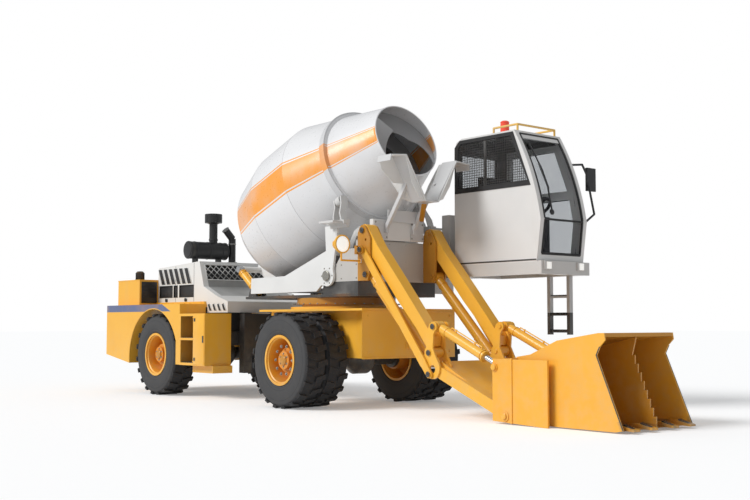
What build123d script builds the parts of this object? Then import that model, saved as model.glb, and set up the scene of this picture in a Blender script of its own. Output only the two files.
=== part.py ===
"""Self-loading concrete mixer with a slewing drum, cab and loader arms.

Millimetres. +X points forward, +Y left, +Z up. Every size is measured from the ground
below the middle of the front axle; the finished pieces are then moved so that the
origin lies on the ground below the middle of the whole machine.
"""

import math
import os

from build123d import *

os.makedirs("parts", exist_ok=True)

# Running fits
PIN_GAP = 0.08
SIDE_GAP = 6.0

# Tyres and rims
TYRE_DIAMETER = 1125.0
TWIN_WIDTH = 305.0
TWIN_GAP = 15.0
TWIN_OUTER_FACE = 1215.0
REAR_WIDTH = 370.0
REAR_OUTER_FACE = 1105.0
RIM_RADIUS = 282.0
RIM_WALL = 14.0
TREAD_DEPTH = 22.0
LUG_COUNT = 20
LUG_RUN = 62.0
LUG_SKEW = 34.0
HUB_RADIUS = 145.0
HUB_CAP_RADIUS = 105.0
SPINDLE_RADIUS = 62.0
WHEELBASE = 3166.0
WHEEL_Z = TYRE_DIAMETER / 2

# Front frame
FRAME_HALF = 730.0
FRAME_FRONT = 950.0
FRAME_REAR = -1120.0
FRAME_TOP = 1166.0
FRAME_BOTTOM = 588.0
FRAME_WAIST = 540.0
DECK_THICKNESS = 26.0
NOSE_REAR = 600.0
NOSE_BEND = (795.0, 598.0)

# Articulation
PIVOT_X = -1450.0
PIVOT_PIN_RADIUS = 45.0
PIVOT_EYE_RADIUS = 95.0
LUG_HEIGHT = 60.0
LUG_LEVELS = (660.0, 980.0)

# Tow clevis below the rear body
TOW_X = -4560.0
TOW_RADIUS = 22.5
TOW_LOW = 455.0
TOW_HIGH = 545.0
TOW_PLATE = 25.0

# Rear module
REAR_FACE = -4640.0
BODY_HALF = 1105.0
BODY_TOP = 1258.0
BODY_FRONT = -2480.0
BODY_WALL = 40.0
ARCH_DEPTH = 405.0
TANK_FRONT = -1830.0
TANK_INNER = 700.0
TANK_TOP = 1124.0
TANK_BOTTOM = 437.0
STEP_FRONT = -2126.0
STEP_DEPTH = 190.0
HOOD_HALF = 680.0
HOOD_REAR = -3850.0
HOOD_WALL = 20.0
HOOD_CREST = -2690.0
HOOD_TOP_REAR = 1800.0
HOOD_TOP_FRONT = 1860.0
ENGINE_BOTTOM = 880.0
BOX_REAR = -4530.0
BOX_FRONT = -3862.0
BOX_TOP = 1630.0
BOX_HALF = 980.0

# Slewing platform
SLEW_X = -250.0
RING_RADIUS = 620.0
RING_FLANGE_RADIUS = 700.0
PLATFORM_BOTTOM = 1310.0
PLATFORM_TOP = 1343.0
PLATFORM_REAR = -1620.0
TOWER_FRONT = 729.0
TOWER_REAR = 470.0
TOWER_HALF = 610.0
TOWER_TOP = 1965.0
TOWER_DECK = 1868.0
CLEVIS_FOOT = 1485.0
SEAT_GAP = 0.3

# Loader arms, in the machine's side view: the upper arm and the link bar below it are
# the long sides of a parallelogram, the front arms hang from its far side
ARM_PIVOT = (815.0, 2067.0)
ELBOW_PIN = (1933.0, 680.0)
LINK_DROP = (25.0, -227.0)
LINK_TOP = (ARM_PIVOT[0] + LINK_DROP[0], ARM_PIVOT[1] + LINK_DROP[1])
LINK_LOW = (ELBOW_PIN[0] + LINK_DROP[0], ELBOW_PIN[1] + LINK_DROP[1])
LIFT_BASE = (870.0, 1554.0)
LIFT_EYE = (1872.0, 548.0)
TILT_BASE = (1997.0, 960.0)
TILT_EYE = (2903.0, 558.0)
BUCKET_PIVOT = (3040.0, 80.0)
CROSS_TUBE = (1985.0, 507.0)
CROSS_RADIUS = 60.0
ARM_MIDDLE = 514.0
ARM_WIDTH = 140.0
ARM_PLATE = 22.0
LOWER_MIDDLE = 530.0
LOWER_WIDTH = 120.0
LINK_WIDTH = 96.0
LINK_PLATE = 22.0
TOWER_PLATE = 24.0
PIN_RADIUS = 25.0

# Drum cradle and drum
CRADLE_PIVOT = (190.0, 1560.0)
CRADLE_PLATE = 30.0
CRADLE_IN = 620.0
CRADLE_PIN = 40.0
DRUM_TILT = 20.6
MOUTH = (893.0, 3172.0)
DRUM_WALL = 12.0
DRUM_END = 2880.0
GEARBOX_START = 2890.0
GEARBOX_END = 3060.0
DRUM_LIFT_BASE = (-1506.0, 1401.0)
DRUM_LIFT_EYE = (-1933.0, 1723.0)
DRUM_LIFT_Y = 500.0

# Cab
CAB_RIGHT = 700.0
CAB_LEFT = 1510.0
CAB_REAR = 990.0
CAB_BASE = 1550.0
CAB_FLOOR = 1690.0
CAB_ROOF = 3235.0
CAB_FRONT = 2375.0
CAB_WALL = 45.0
GLASS = 6.0
SEAL = 0.3
DOOR_GAP = 6.0
HINGE_X = 1130.0
HINGE_Y = CAB_LEFT + 14
HINGE_PIN = 8.0
HINGE_RADIUS = 13.0
HINGE_LEVELS = (1850.0, 2950.0)
HINGE_HEIGHT = 40.0


def block(x_low, x_high, y_low, y_high, z_low, z_high):
    """Box between the given limits."""
    with BuildPart() as piece:
        with BuildSketch(Plane.XY.offset(z_low)):
            with Locations(((x_low + x_high) / 2, (y_low + y_high) / 2)):
                Rectangle(x_high - x_low, y_high - y_low)
        extrude(amount=z_high - z_low)
    return piece.part


def prism(outline, y_low, y_high):
    """Flat piece with an outline in side view, from y_low to y_high."""
    with BuildPart() as piece:
        with BuildSketch(Plane.XZ.offset(-y_high)):
            with BuildLine():
                Polyline(*outline, close=True)
            make_face()
        extrude(amount=y_high - y_low)
    return piece.part


def disc(centre, radius, y_low, y_high):
    """Round bar or boss along Y, centred at (x, z)."""
    with BuildPart() as piece:
        with BuildSketch(Plane.XZ.offset(-y_high)):
            with Locations(centre):
                Circle(radius)
        extrude(amount=y_high - y_low)
    return piece.part


def post(x, y, radius, z_low, z_high):
    """Round upright bar."""
    with BuildPart() as piece:
        with BuildSketch(Plane.XY.offset(z_low)):
            with Locations((x, y)):
                Circle(radius)
        extrude(amount=z_high - z_low)
    return piece.part


def bar(start, end, radius):
    """Round bar between two points in space."""
    along = Vector(*end) - Vector(*start)
    with BuildPart() as piece:
        with BuildSketch(Plane(origin=start, z_dir=along)):
            Circle(radius)
        extrude(amount=along.length)
    return piece.part


def flat_bar(start, end, depth, y_low, y_high):
    """Bar of rectangular section in side view, with round ends."""
    length = math.dist(start, end)
    angle = math.degrees(math.atan2(end[1] - start[1], end[0] - start[0]))
    middle = ((start[0] + end[0]) / 2, (start[1] + end[1]) / 2)
    with BuildPart() as piece:
        with BuildSketch(Plane.XZ.offset(-y_high)):
            with Locations(Location((*middle, 0), (0, 0, angle))):
                SlotCenterToCenter(length, depth)
        extrude(amount=y_high - y_low)
    return piece.part


def along(start, end, distance):
    """Point in side view at a distance from start towards end."""
    share = distance / math.dist(start, end)
    return (start[0] + (end[0] - start[0]) * share, start[1] + (end[1] - start[1]) * share)


# Wheels
def tyre(y_low, width):
    """Tyre about the Y axis with a lug row on each shoulder, its inner side at y_low."""
    radius = TYRE_DIAMETER / 2
    carcass = radius - TREAD_DEPTH
    middle = y_low + width / 2
    with BuildPart() as lugs:
        for index in range(LUG_COUNT):
            for side in (-1, 1):
                turn = math.radians(360 * (index + side / 4) / LUG_COUNT)
                outwards = Vector(math.cos(turn), 0, math.sin(turn))
                foot = Vector(0, middle, 0) + outwards * (carcass - 8)
                inner = side * 0.04 * width
                outer = side * 0.46 * width
                with BuildSketch(Plane(origin=foot, x_dir=(0, 1, 0), z_dir=outwards)):
                    with BuildLine():
                        Polyline(
                            (inner, -LUG_RUN / 2),
                            (outer, LUG_SKEW - LUG_RUN / 2),
                            (outer, LUG_SKEW + LUG_RUN / 2),
                            (inner, LUG_RUN / 2),
                            close=True,
                        )
                    make_face()
                extrude(amount=TREAD_DEPTH + 12)
        add(disc((0, 0), radius, y_low, y_low + width), mode=Mode.INTERSECT)
    with BuildPart() as piece:
        with BuildSketch(Plane.XY):
            with BuildLine():
                bead_low = (RIM_RADIUS, y_low + 0.12 * width)
                wall_low = (RIM_RADIUS + 30, y_low + 0.04 * width)
                shoulder_low = (carcass - 30, y_low + 0.04 * width)
                bead_high = (RIM_RADIUS, y_low + 0.88 * width)
                wall_high = (RIM_RADIUS + 30, y_low + 0.96 * width)
                shoulder_high = (carcass - 30, y_low + 0.96 * width)
                Line(bead_low, wall_low)
                ThreePointArc(wall_low, (RIM_RADIUS + 125, y_low), shoulder_low)
                tread_low = (carcass, y_low + 0.10 * width)
                tread_high = (carcass, y_low + 0.90 * width)
                Polyline(shoulder_low, tread_low, tread_high, shoulder_high)
                ThreePointArc(shoulder_high, (RIM_RADIUS + 125, y_low + width), wall_high)
                Polyline(wall_high, bead_high, bead_low)
            make_face()
        revolve(axis=Axis.Y)
        add(lugs.part)
    return piece.part


def rim(y_low, width, disc_y, disc_thickness):
    """Rim barrel with lips and its dished disc, about the Y axis; the disc's foot lies at disc_y."""
    low = y_low + 0.04 * width
    high = y_low + 0.96 * width
    lip = 0.03 * width
    inside = RIM_RADIUS - RIM_WALL
    with BuildPart() as piece:
        with BuildSketch(Plane.XY):
            with BuildLine():
                Polyline(
                    (RIM_RADIUS, low + lip),
                    (RIM_RADIUS, high - lip),
                    (RIM_RADIUS + RIM_WALL, high - lip),
                    (RIM_RADIUS + RIM_WALL, high),
                    (inside, high),
                    (inside, high - 2 * lip),
                    (inside - RIM_WALL, high - 3 * lip),
                    (inside - 2 * RIM_WALL, disc_y + disc_thickness),
                    (HUB_RADIUS + 40, disc_y + 2 * disc_thickness),
                    (0, disc_y + 2 * disc_thickness),
                    (0, disc_y),
                    (HUB_RADIUS + 40, disc_y),
                    (inside - 2 * RIM_WALL, disc_y - disc_thickness),
                    (inside, low + 2 * lip),
                    (inside, low),
                    (RIM_RADIUS + RIM_WALL, low),
                    (RIM_RADIUS + RIM_WALL, low + lip),
                    close=True,
                )
            make_face()
        revolve(axis=Axis.Y)
    return piece.part


TWIN_INNER = TWIN_OUTER_FACE - 2 * TWIN_WIDTH - TWIN_GAP
TWIN_SECOND = TWIN_OUTER_FACE - TWIN_WIDTH
REAR_INNER = REAR_OUTER_FACE - REAR_WIDTH
DISC_THICKNESS = 20.0
FRONT_DISC = TWIN_INNER + TWIN_WIDTH - 3 * DISC_THICKNESS
REAR_DISC = REAR_INNER + 0.35 * REAR_WIDTH
HUB_END = 25.0

with BuildPart() as twin_tyres:
    inner_tyre = tyre(TWIN_INNER, TWIN_WIDTH)
    add(inner_tyre)
    add(inner_tyre.moved(Location((0, TWIN_SECOND - TWIN_INNER, 0))))

with BuildPart() as twin_rims:
    add(rim(TWIN_INNER, TWIN_WIDTH, FRONT_DISC, DISC_THICKNESS))
    add(rim(TWIN_SECOND, TWIN_WIDTH, TWIN_SECOND + 2 * DISC_THICKNESS, DISC_THICKNESS))
    add(disc((0, 0), HUB_RADIUS, TWIN_INNER - 30, TWIN_OUTER_FACE - 5 * HUB_END))
    add(disc((0, 0), HUB_CAP_RADIUS, TWIN_OUTER_FACE - 5 * HUB_END, TWIN_OUTER_FACE - 3 * HUB_END))
    add(disc((0, 0), SPINDLE_RADIUS + PIN_GAP, TWIN_INNER - 30, TWIN_INNER + 90), mode=Mode.SUBTRACT)

with BuildPart() as single_tyre:
    add(tyre(REAR_INNER, REAR_WIDTH))

with BuildPart() as single_rim:
    add(rim(REAR_INNER, REAR_WIDTH, REAR_DISC, DISC_THICKNESS))
    add(disc((0, 0), HUB_RADIUS, REAR_INNER - 30, REAR_OUTER_FACE - 5 * HUB_END))
    add(disc((0, 0), HUB_CAP_RADIUS, REAR_OUTER_FACE - 5 * HUB_END, REAR_OUTER_FACE - 3 * HUB_END))
    add(disc((0, 0), SPINDLE_RADIUS + PIN_GAP, REAR_INNER - 30, REAR_INNER + 90), mode=Mode.SUBTRACT)

FRONT_WHEEL = Location((0, 0, WHEEL_Z))
REAR_WHEEL = Location((-WHEELBASE, 0, WHEEL_Z))
front_tyres_left = twin_tyres.part.moved(FRONT_WHEEL)
front_tyres_right = mirror(front_tyres_left, about=Plane.XZ)
front_rims_left = twin_rims.part.moved(FRONT_WHEEL)
front_rims_right = mirror(front_rims_left, about=Plane.XZ)
rear_tyre_left = single_tyre.part.moved(REAR_WHEEL)
rear_tyre_right = mirror(rear_tyre_left, about=Plane.XZ)
rear_rim_left = single_rim.part.moved(REAR_WHEEL)
rear_rim_right = mirror(rear_rim_left, about=Plane.XZ)

# Axles
AXLE_TUBE = 85.0
AXLE_BOWL = 190.0
AXLE_FLANGE = 125.0


def axle(x, wheel_inner, pad_top, pad_y):
    """Axle housing with its bowl, flanges, spindles and spring pads."""
    flange = wheel_inner - 30 - SIDE_GAP
    with BuildPart() as piece:
        with BuildSketch(Plane.XY):
            with BuildLine():
                Polyline(
                    (0, 0),
                    (AXLE_BOWL, 0),
                    (AXLE_BOWL, 90),
                    (AXLE_TUBE, 210),
                    (AXLE_TUBE, flange - 40),
                    (AXLE_FLANGE, flange - 40),
                    (AXLE_FLANGE, flange),
                    (SPINDLE_RADIUS, flange),
                    (SPINDLE_RADIUS, wheel_inner + 80),
                    (0, wheel_inner + 80),
                    close=True,
                )
            make_face()
        revolve(axis=Axis.Y)
        mirror(about=Plane.XZ)
        pad = block(-75, 75, pad_y - 60, pad_y + 60, 0, pad_top - WHEEL_Z)
        add(pad)
        add(mirror(pad, about=Plane.XZ))
    return piece.part.moved(Location((x, 0, WHEEL_Z)))


AXLE_SEAT = 700.0
front_axle = axle(0, TWIN_INNER, AXLE_SEAT, 300)

# Front frame: waisted box, flared nose, full-width deck, tongue with the pivot lugs
with BuildPart() as nose:
    with BuildSketch(Plane.XY.offset(FRAME_BOTTOM)):
        with BuildLine():
            Polyline((NOSE_REAR, FRAME_WAIST), (NOSE_REAR, 0), (FRAME_FRONT, 0), (FRAME_FRONT, FRAME_HALF))
            ThreePointArc((FRAME_FRONT, FRAME_HALF), NOSE_BEND, (NOSE_REAR, FRAME_WAIST))
        make_face()
    extrude(amount=FRAME_TOP - FRAME_BOTTOM)
    mirror(about=Plane.XZ)
with BuildPart() as front_frame:
    add(block(FRAME_REAR, NOSE_REAR, -FRAME_WAIST, FRAME_WAIST, FRAME_BOTTOM, FRAME_TOP))
    add(nose.part)
    add(block(FRAME_REAR, FRAME_FRONT, -FRAME_HALF, FRAME_HALF, FRAME_TOP - DECK_THICKNESS, FRAME_TOP))
    add(block(-230, 230, -FRAME_WAIST, FRAME_WAIST, FRAME_BOTTOM, AXLE_SEAT), mode=Mode.SUBTRACT)
    add(block(-230, 230, -240, 240, FRAME_BOTTOM, AXLE_SEAT + 80), mode=Mode.SUBTRACT)
    add(post(SLEW_X, 0, RING_FLANGE_RADIUS, FRAME_TOP, FRAME_TOP + 30))
    add(post(SLEW_X, 0, RING_RADIUS - 60, FRAME_TOP + 30, FRAME_TOP + 60))
    for level in LUG_LEVELS:
        with BuildSketch(Plane.XY.offset(level)) as lug:
            with Locations(((PIVOT_X + FRAME_REAR) / 2, 0)):
                Rectangle(FRAME_REAR - PIVOT_X, 2 * PIVOT_EYE_RADIUS)
            with Locations((PIVOT_X, 0)):
                Circle(PIVOT_EYE_RADIUS)
                Circle(PIVOT_PIN_RADIUS + PIN_GAP, mode=Mode.SUBTRACT)
        extrude(amount=LUG_HEIGHT)

# Rear frame: two beams, cross members, front posts, yoke and pivot pin
BEAM_Y = 430.0
with BuildPart() as rear_frame:
    for y in (-BEAM_Y, BEAM_Y):
        add(block(REAR_FACE + BODY_WALL + SEAT_GAP, -1950, y - 60, y + 60, 700, 880))
        add(block(-1950, TANK_FRONT, y - 60, y + 60, 330, 1126))
    for x in (-4480, -2700):
        add(block(x, x + 120, -BEAM_Y, BEAM_Y, 700, 880))
    for x in (-3560, -2980):
        add(block(x, x + 120, -BEAM_Y, BEAM_Y, 780, ENGINE_BOTTOM - SEAT_GAP))
    add(block(-2120, -2000, SEAT_GAP - TANK_INNER, TANK_INNER - SEAT_GAP, 700, 880))
    add(block(-1950, TANK_FRONT, -BEAM_Y, BEAM_Y, 560, 1126))
    for level in LUG_LEVELS:
        for shift in (-LUG_HEIGHT - 1, LUG_HEIGHT + 1):
            with BuildSketch(Plane.XY.offset(level + shift)) as yoke:
                with Locations(((PIVOT_X + TANK_FRONT) / 2, 0)):
                    Rectangle(PIVOT_X - TANK_FRONT, 2 * PIVOT_EYE_RADIUS)
                with Locations((PIVOT_X, 0)):
                    Circle(PIVOT_EYE_RADIUS)
            extrude(amount=LUG_HEIGHT)
        add(post(PIVOT_X, 0, PIVOT_PIN_RADIUS, level - LUG_HEIGHT - 1, level + 2 * LUG_HEIGHT + 1))
    add(block(-4480, -4440, -110, 110, TOW_LOW - 15, 700))
    add(block(-4630, -4480, -80, 80, TOW_LOW, TOW_LOW + TOW_PLATE))
    add(block(-4630, -4480, -80, 80, TOW_HIGH - TOW_PLATE, TOW_HIGH))
    add(post(TOW_X, 0, TOW_RADIUS, TOW_LOW - 1, TOW_HIGH + 1), mode=Mode.SUBTRACT)

REAR_SEAT = 700.0
rear_axle = axle(-WHEELBASE, REAR_INNER, REAR_SEAT, BEAM_Y)

# Rear body: fenders, deck and rear face as one shell
ARCH_REAR = (-3915.0, 425.0)
ARCH_TOP = (-3290.0, 1192.0)
ARCH_FRONT = (-2577.0, 760.0)
with BuildPart() as rear_body:
    for side in (-1, 1):
        outer = max(side * BODY_HALF, side * (BODY_HALF - ARCH_DEPTH))
        with BuildSketch(Plane.XZ.offset(-outer)) as fender:
            with BuildLine():
                Polyline(
                    ARCH_REAR,
                    (REAR_FACE, 535),
                    (REAR_FACE, BODY_TOP),
                    (BODY_FRONT, BODY_TOP),
                    (BODY_FRONT, 440),
                    (ARCH_FRONT[0], 440),
                    ARCH_FRONT,
                )
                ThreePointArc(ARCH_FRONT, ARCH_TOP, ARCH_REAR)
            make_face()
        extrude(amount=ARCH_DEPTH)
    add(block(REAR_FACE, BODY_FRONT, -BODY_HALF, BODY_HALF, BODY_TOP - BODY_WALL, BODY_TOP))
    add(block(REAR_FACE, REAR_FACE + BODY_WALL, -BODY_HALF, BODY_HALF, 560, BODY_TOP))
    add(block(HOOD_REAR + 60, -2660, -HOOD_HALF + 60, HOOD_HALF - 60, 1000, BODY_TOP), mode=Mode.SUBTRACT)

# Step boxes with fuel and hydraulic tanks
with BuildPart() as side_tanks:
    add(block(BODY_FRONT, TANK_FRONT, -BODY_HALF, -TANK_INNER, TANK_BOTTOM, TANK_TOP))
    for low, high in ((470, 770), (800, 1090)):
        add(
            block(BODY_FRONT + 30, STEP_FRONT, -BODY_HALF, STEP_DEPTH - BODY_HALF, low, high),
            mode=Mode.SUBTRACT,
        )
    add(block(-2300, TANK_FRONT + 40, -1000, -TANK_INNER, 340, TANK_BOTTOM))
    mirror(about=Plane.XZ)

# Engine hood, hollow, open below
HOOD_OUTLINE = (
    (HOOD_REAR, BODY_TOP),
    (HOOD_REAR, HOOD_TOP_REAR),
    (HOOD_CREST, HOOD_TOP_FRONT),
    (-2570, 1505),
    (-2200, 1357),
    (-1950, 1290),
    (-1950, 1140),
    (BODY_FRONT, 1140),
    (BODY_FRONT, BODY_TOP),
)
HOOD_INSIDE = (
    (HOOD_REAR + HOOD_WALL, BODY_TOP),
    (HOOD_REAR + HOOD_WALL, HOOD_TOP_REAR - HOOD_WALL),
    (HOOD_CREST - HOOD_WALL, HOOD_TOP_FRONT - HOOD_WALL),
    (-2570 - HOOD_WALL, 1505 - HOOD_WALL),
    (-2200 - HOOD_WALL, 1357 - HOOD_WALL),
    (-1950 - HOOD_WALL, 1290 - HOOD_WALL),
    (-1950 - HOOD_WALL, 1140),
    (BODY_FRONT, 1140),
    (BODY_FRONT, BODY_TOP),
)
# Columns: x at the opening's lower rear corner, its width
HOOD_WINDOWS = ((-3800, 365), (-3390, 100), (-3230, 380))
HOOD_WINDOW_LEVELS = (1370, 1530)
LOUVRE_LEVELS = (1560, 1775)
LOUVRE_PITCH = 148.0
SKIRT_LEVELS = (1165, 1262)
SKIRT_PITCH = 120.0
GRILLE_HALF = 600.0
GRILLE_BAR = 9.0
GRILLE_PITCH = 66.0
face_run = Vector(-2570 - HOOD_CREST, 0, 1505 - HOOD_TOP_FRONT)
face_out = Vector(-face_run.Z, 0, face_run.X).normalized()
face_middle = Vector(HOOD_CREST, 0, HOOD_TOP_FRONT) + face_run * 0.42
GRILLE_HEIGHT = 225.0


def slanted(x, width, lean, levels):
    """Leaning slot through a hood wall, as a side-view outline."""
    low, high = levels
    return ((x, high), (x + width, high), (x + width + lean, low), (x + lean, low))


with BuildPart() as hood_cuts:
    wall_low, wall_high = HOOD_HALF - HOOD_WALL - 1, HOOD_HALF + 1
    for x, width in HOOD_WINDOWS:
        add(block(x, x + width, wall_low, wall_high, *HOOD_WINDOW_LEVELS))
    for index in range(6):
        add(prism(slanted(-3810 + index * LOUVRE_PITCH, 52, 105, LOUVRE_LEVELS), wall_low, wall_high))
    for index in range(4):
        add(prism(slanted(-2440 + index * SKIRT_PITCH, 34, 52, SKIRT_LEVELS), wall_low, wall_high))
    mirror(about=Plane.XZ)
with BuildPart() as hood_mouth:
    with BuildSketch(Plane(origin=face_middle, x_dir=(0, 1, 0), z_dir=face_out)):
        Rectangle(2 * GRILLE_HALF, GRILLE_HEIGHT)
    extrude(amount=60, both=True)
with BuildPart() as hood_grille:
    with BuildSketch(Plane(origin=face_middle - face_out * 14, x_dir=(0, 1, 0), z_dir=face_out)):
        Rectangle(2 * GRILLE_HALF + 10, GRILLE_HEIGHT + 10)
        Rectangle(2 * GRILLE_HALF - 10, GRILLE_HEIGHT - 10, mode=Mode.SUBTRACT)
        for lean in (-45, 45):
            with Locations(Rotation(0, 0, lean)):
                with GridLocations(GRILLE_PITCH, 1, 20, 1):
                    Rectangle(GRILLE_BAR, 2 * GRILLE_HALF)
        Rectangle(2 * GRILLE_HALF + 10, GRILLE_HEIGHT + 10, mode=Mode.INTERSECT)
    extrude(amount=8)
with BuildPart() as engine_hood:
    add(prism(HOOD_OUTLINE, -HOOD_HALF, HOOD_HALF))
    add(prism(HOOD_INSIDE, HOOD_WALL - HOOD_HALF, HOOD_HALF - HOOD_WALL), mode=Mode.SUBTRACT)
    add(hood_cuts.part, mode=Mode.SUBTRACT)
    add(hood_mouth.part, mode=Mode.SUBTRACT)
    add(hood_grille.part)

engine_block = block(-3650, -2850, -300, 300, ENGINE_BOTTOM, 1500)

# Rear box with the oil tank and battery bay
with BuildPart() as rear_box:
    add(block(BOX_REAR, BOX_FRONT, -BOX_HALF, BOX_HALF, BODY_TOP, BOX_TOP))
    for side in (-1, 1):
        add(
            block(BOX_FRONT - 90, BOX_FRONT, *sorted((side * 700, side * 950)), BODY_TOP + 30, BOX_TOP - 30),
            mode=Mode.SUBTRACT,
        )
    add(post(-4100, -850, 58, BOX_TOP, BOX_TOP + 120))


def hood_top(x):
    """Height of the hood's top, with the seat's gap."""
    slope = (HOOD_TOP_FRONT - HOOD_TOP_REAR) / (HOOD_CREST - HOOD_REAR)
    return HOOD_TOP_REAR + slope * (x - HOOD_REAR) + SEAT_GAP


# Air cleaner with its pre-cleaner, and the exhaust
CLEANER_X = -3200.0
CLEANER_Z = 2050.0
EXHAUST_X = CLEANER_X + 60
EXHAUST_RADIUS = 52.0
with BuildPart() as intake_and_exhaust:
    add(disc((CLEANER_X, CLEANER_Z), 125, -572, 55))
    add(post(CLEANER_X, -147, 60, CLEANER_Z, 2460))
    add(post(CLEANER_X, -147, 125, 2460, 2590))
    for y in (-450, -60):
        rear, front = CLEANER_X - 60, CLEANER_X + 60
        foot = ((rear, hood_top(rear)), (front, hood_top(front)), (front, CLEANER_Z), (rear, CLEANER_Z))
        add(prism(foot, y - 15, y + 15))
    add(post(EXHAUST_X, 140, EXHAUST_RADIUS, hood_top(EXHAUST_X + EXHAUST_RADIUS), 2240))
    add(bar((EXHAUST_X, 140, 2240), (EXHAUST_X, 20, 2370), EXHAUST_RADIUS))

# Slewing platform with its ring
RING_SEAT = FRAME_TOP + 60 + SEAT_GAP
with BuildPart() as platform:
    add(block(PLATFORM_REAR, TOWER_FRONT, -TOWER_HALF, TOWER_HALF, PLATFORM_BOTTOM, PLATFORM_TOP))
    add(post(SLEW_X, 0, RING_RADIUS, RING_SEAT, PLATFORM_BOTTOM))
    for y in (-DRUM_LIFT_Y, DRUM_LIFT_Y):
        for side in (-1, 1):
            middle = y + side * 70
            add(
                prism(
                    ((-1600, PLATFORM_TOP), (-1410, PLATFORM_TOP), (-1460, 1450), (-1550, 1450)),
                    middle - 12,
                    middle + 12,
                )
            )
        add(disc(DRUM_LIFT_BASE, PIN_RADIUS, y - 92, y + 92))

# Tower: front box on the platform, its side plates carry the cradle's pivot pins
TOWER_SIDE = (
    (60, PLATFORM_TOP), (TOWER_FRONT, PLATFORM_TOP), (TOWER_FRONT, TOWER_DECK), (TOWER_REAR, TOWER_DECK),
    (330, 1700), (90, 1700),
)
TOWER_SKIN = 28.0
with BuildPart() as tower:
    add(prism(TOWER_SIDE, TOWER_HALF - TOWER_SKIN, TOWER_HALF))
    add(disc(CRADLE_PIVOT, CRADLE_PIN, TOWER_HALF - 60, CRADLE_IN + CRADLE_PLATE + 12))
    mirror(about=Plane.XZ)
    add(block(TOWER_FRONT - 40, TOWER_FRONT, -TOWER_HALF, TOWER_HALF, PLATFORM_TOP, TOWER_TOP))
    add(block(TOWER_REAR, TOWER_REAR + TOWER_SKIN, -TOWER_HALF, TOWER_HALF, PLATFORM_TOP, TOWER_DECK))
    add(block(TOWER_REAR, TOWER_FRONT, -TOWER_HALF, TOWER_HALF, TOWER_DECK - TOWER_SKIN, TOWER_DECK))

# Arm towers: clevis plates on the tower's front with the pins of the arm, the link bar and the lift cylinder
CLEVIS_IN = ARM_MIDDLE - ARM_WIDTH / 2 - SIDE_GAP
CLEVIS_OUT = ARM_MIDDLE + ARM_WIDTH / 2 + SIDE_GAP
CLEVIS_REAR = TOWER_FRONT + SEAT_GAP
CLEVIS_OUTLINE = (
    (CLEVIS_REAR, CLEVIS_FOOT), (905, CLEVIS_FOOT), (930, 1570), (946, 1650), (946, 1975), (872, 2095),
    (765, 2105), (CLEVIS_REAR, 2040),
)
CLEVIS_HOLE = (870.0, 1956.0)
LINK_IN = CLEVIS_OUT + TOWER_PLATE + SIDE_GAP
LINK_OUT = LINK_IN + LINK_PLATE
EAR_IN = LINK_OUT + 8
EAR_OUT = EAR_IN + LINK_PLATE
PIN_HEAD = 12.0
with BuildPart() as arm_towers:
    add(prism(CLEVIS_OUTLINE, CLEVIS_IN - TOWER_PLATE, CLEVIS_IN))
    add(prism(CLEVIS_OUTLINE, CLEVIS_OUT, CLEVIS_OUT + TOWER_PLATE))
    add(disc(ARM_PIVOT, 62, CLEVIS_IN - TOWER_PLATE, CLEVIS_IN))
    add(disc(ARM_PIVOT, 62, CLEVIS_OUT, CLEVIS_OUT + TOWER_PLATE))
    add(block(CLEVIS_REAR, CLEVIS_REAR + 25, CLEVIS_IN, CLEVIS_OUT, CLEVIS_FOOT, 1950))
    add(disc(CLEVIS_HOLE, 16, CLEVIS_IN - TOWER_PLATE - 1, CLEVIS_OUT + TOWER_PLATE + 1), mode=Mode.SUBTRACT)
    for pin in (ARM_PIVOT, LIFT_BASE):
        add(disc(pin, PIN_RADIUS, CLEVIS_IN - TOWER_PLATE - PIN_HEAD, CLEVIS_OUT + TOWER_PLATE + PIN_HEAD))
    ear_foot = LINK_TOP[1] - 50
    ear_head = LINK_TOP[1] + 50
    add(block(740, 780, CLEVIS_OUT + TOWER_PLATE - 1, EAR_OUT, ear_foot, ear_head))
    add(prism(((740, ear_foot), LINK_TOP, (740, ear_head)), EAR_IN, EAR_OUT))
    add(disc(LINK_TOP, 50, EAR_IN, EAR_OUT))
    add(disc(LINK_TOP, PIN_RADIUS, CLEVIS_OUT, EAR_OUT + PIN_HEAD))
    mirror(about=Plane.XZ)


def arm_point(run, above):
    """Side-view point at a run from the arm's pivot towards the elbow pin, and above that line."""
    ahead = along(ARM_PIVOT, ELBOW_PIN, run)
    angle = math.atan2(ELBOW_PIN[1] - ARM_PIVOT[1], ELBOW_PIN[0] - ARM_PIVOT[0])
    return (ahead[0] - above * math.sin(angle), ahead[1] + above * math.cos(angle))


# Upper arms: tapered boxes between the tower's plates and the elbow's plates
ARM_RUN = math.dist(ARM_PIVOT, ELBOW_PIN)
ARM_IN = ARM_MIDDLE - ARM_WIDTH / 2
ARM_OUT = ARM_MIDDLE + ARM_WIDTH / 2
# Columns: share of the arm's length, height above its line
ARM_SHAPE = (
    (0.00, -72), (0.17, -96), (0.56, -62), (0.80, -16), (0.97, -16), (0.97, 48), (0.93, 124), (0.82, 126),
    (0.50, 98), (0.17, 62), (0.00, 72),
)
ARM_OUTLINE = [arm_point(share * ARM_RUN, above) for share, above in ARM_SHAPE]
with BuildPart() as loader_arms:
    add(prism(ARM_OUTLINE, ARM_IN, ARM_OUT))
    add(disc(ARM_PIVOT, 72, ARM_IN, ARM_OUT))
    add(disc(ELBOW_PIN, 56, ARM_IN, ARM_OUT))
    for pin in (ARM_PIVOT, ELBOW_PIN):
        add(disc(pin, PIN_RADIUS + PIN_GAP, ARM_IN - 1, ARM_OUT + 1), mode=Mode.SUBTRACT)
    mirror(about=Plane.XZ)

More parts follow.
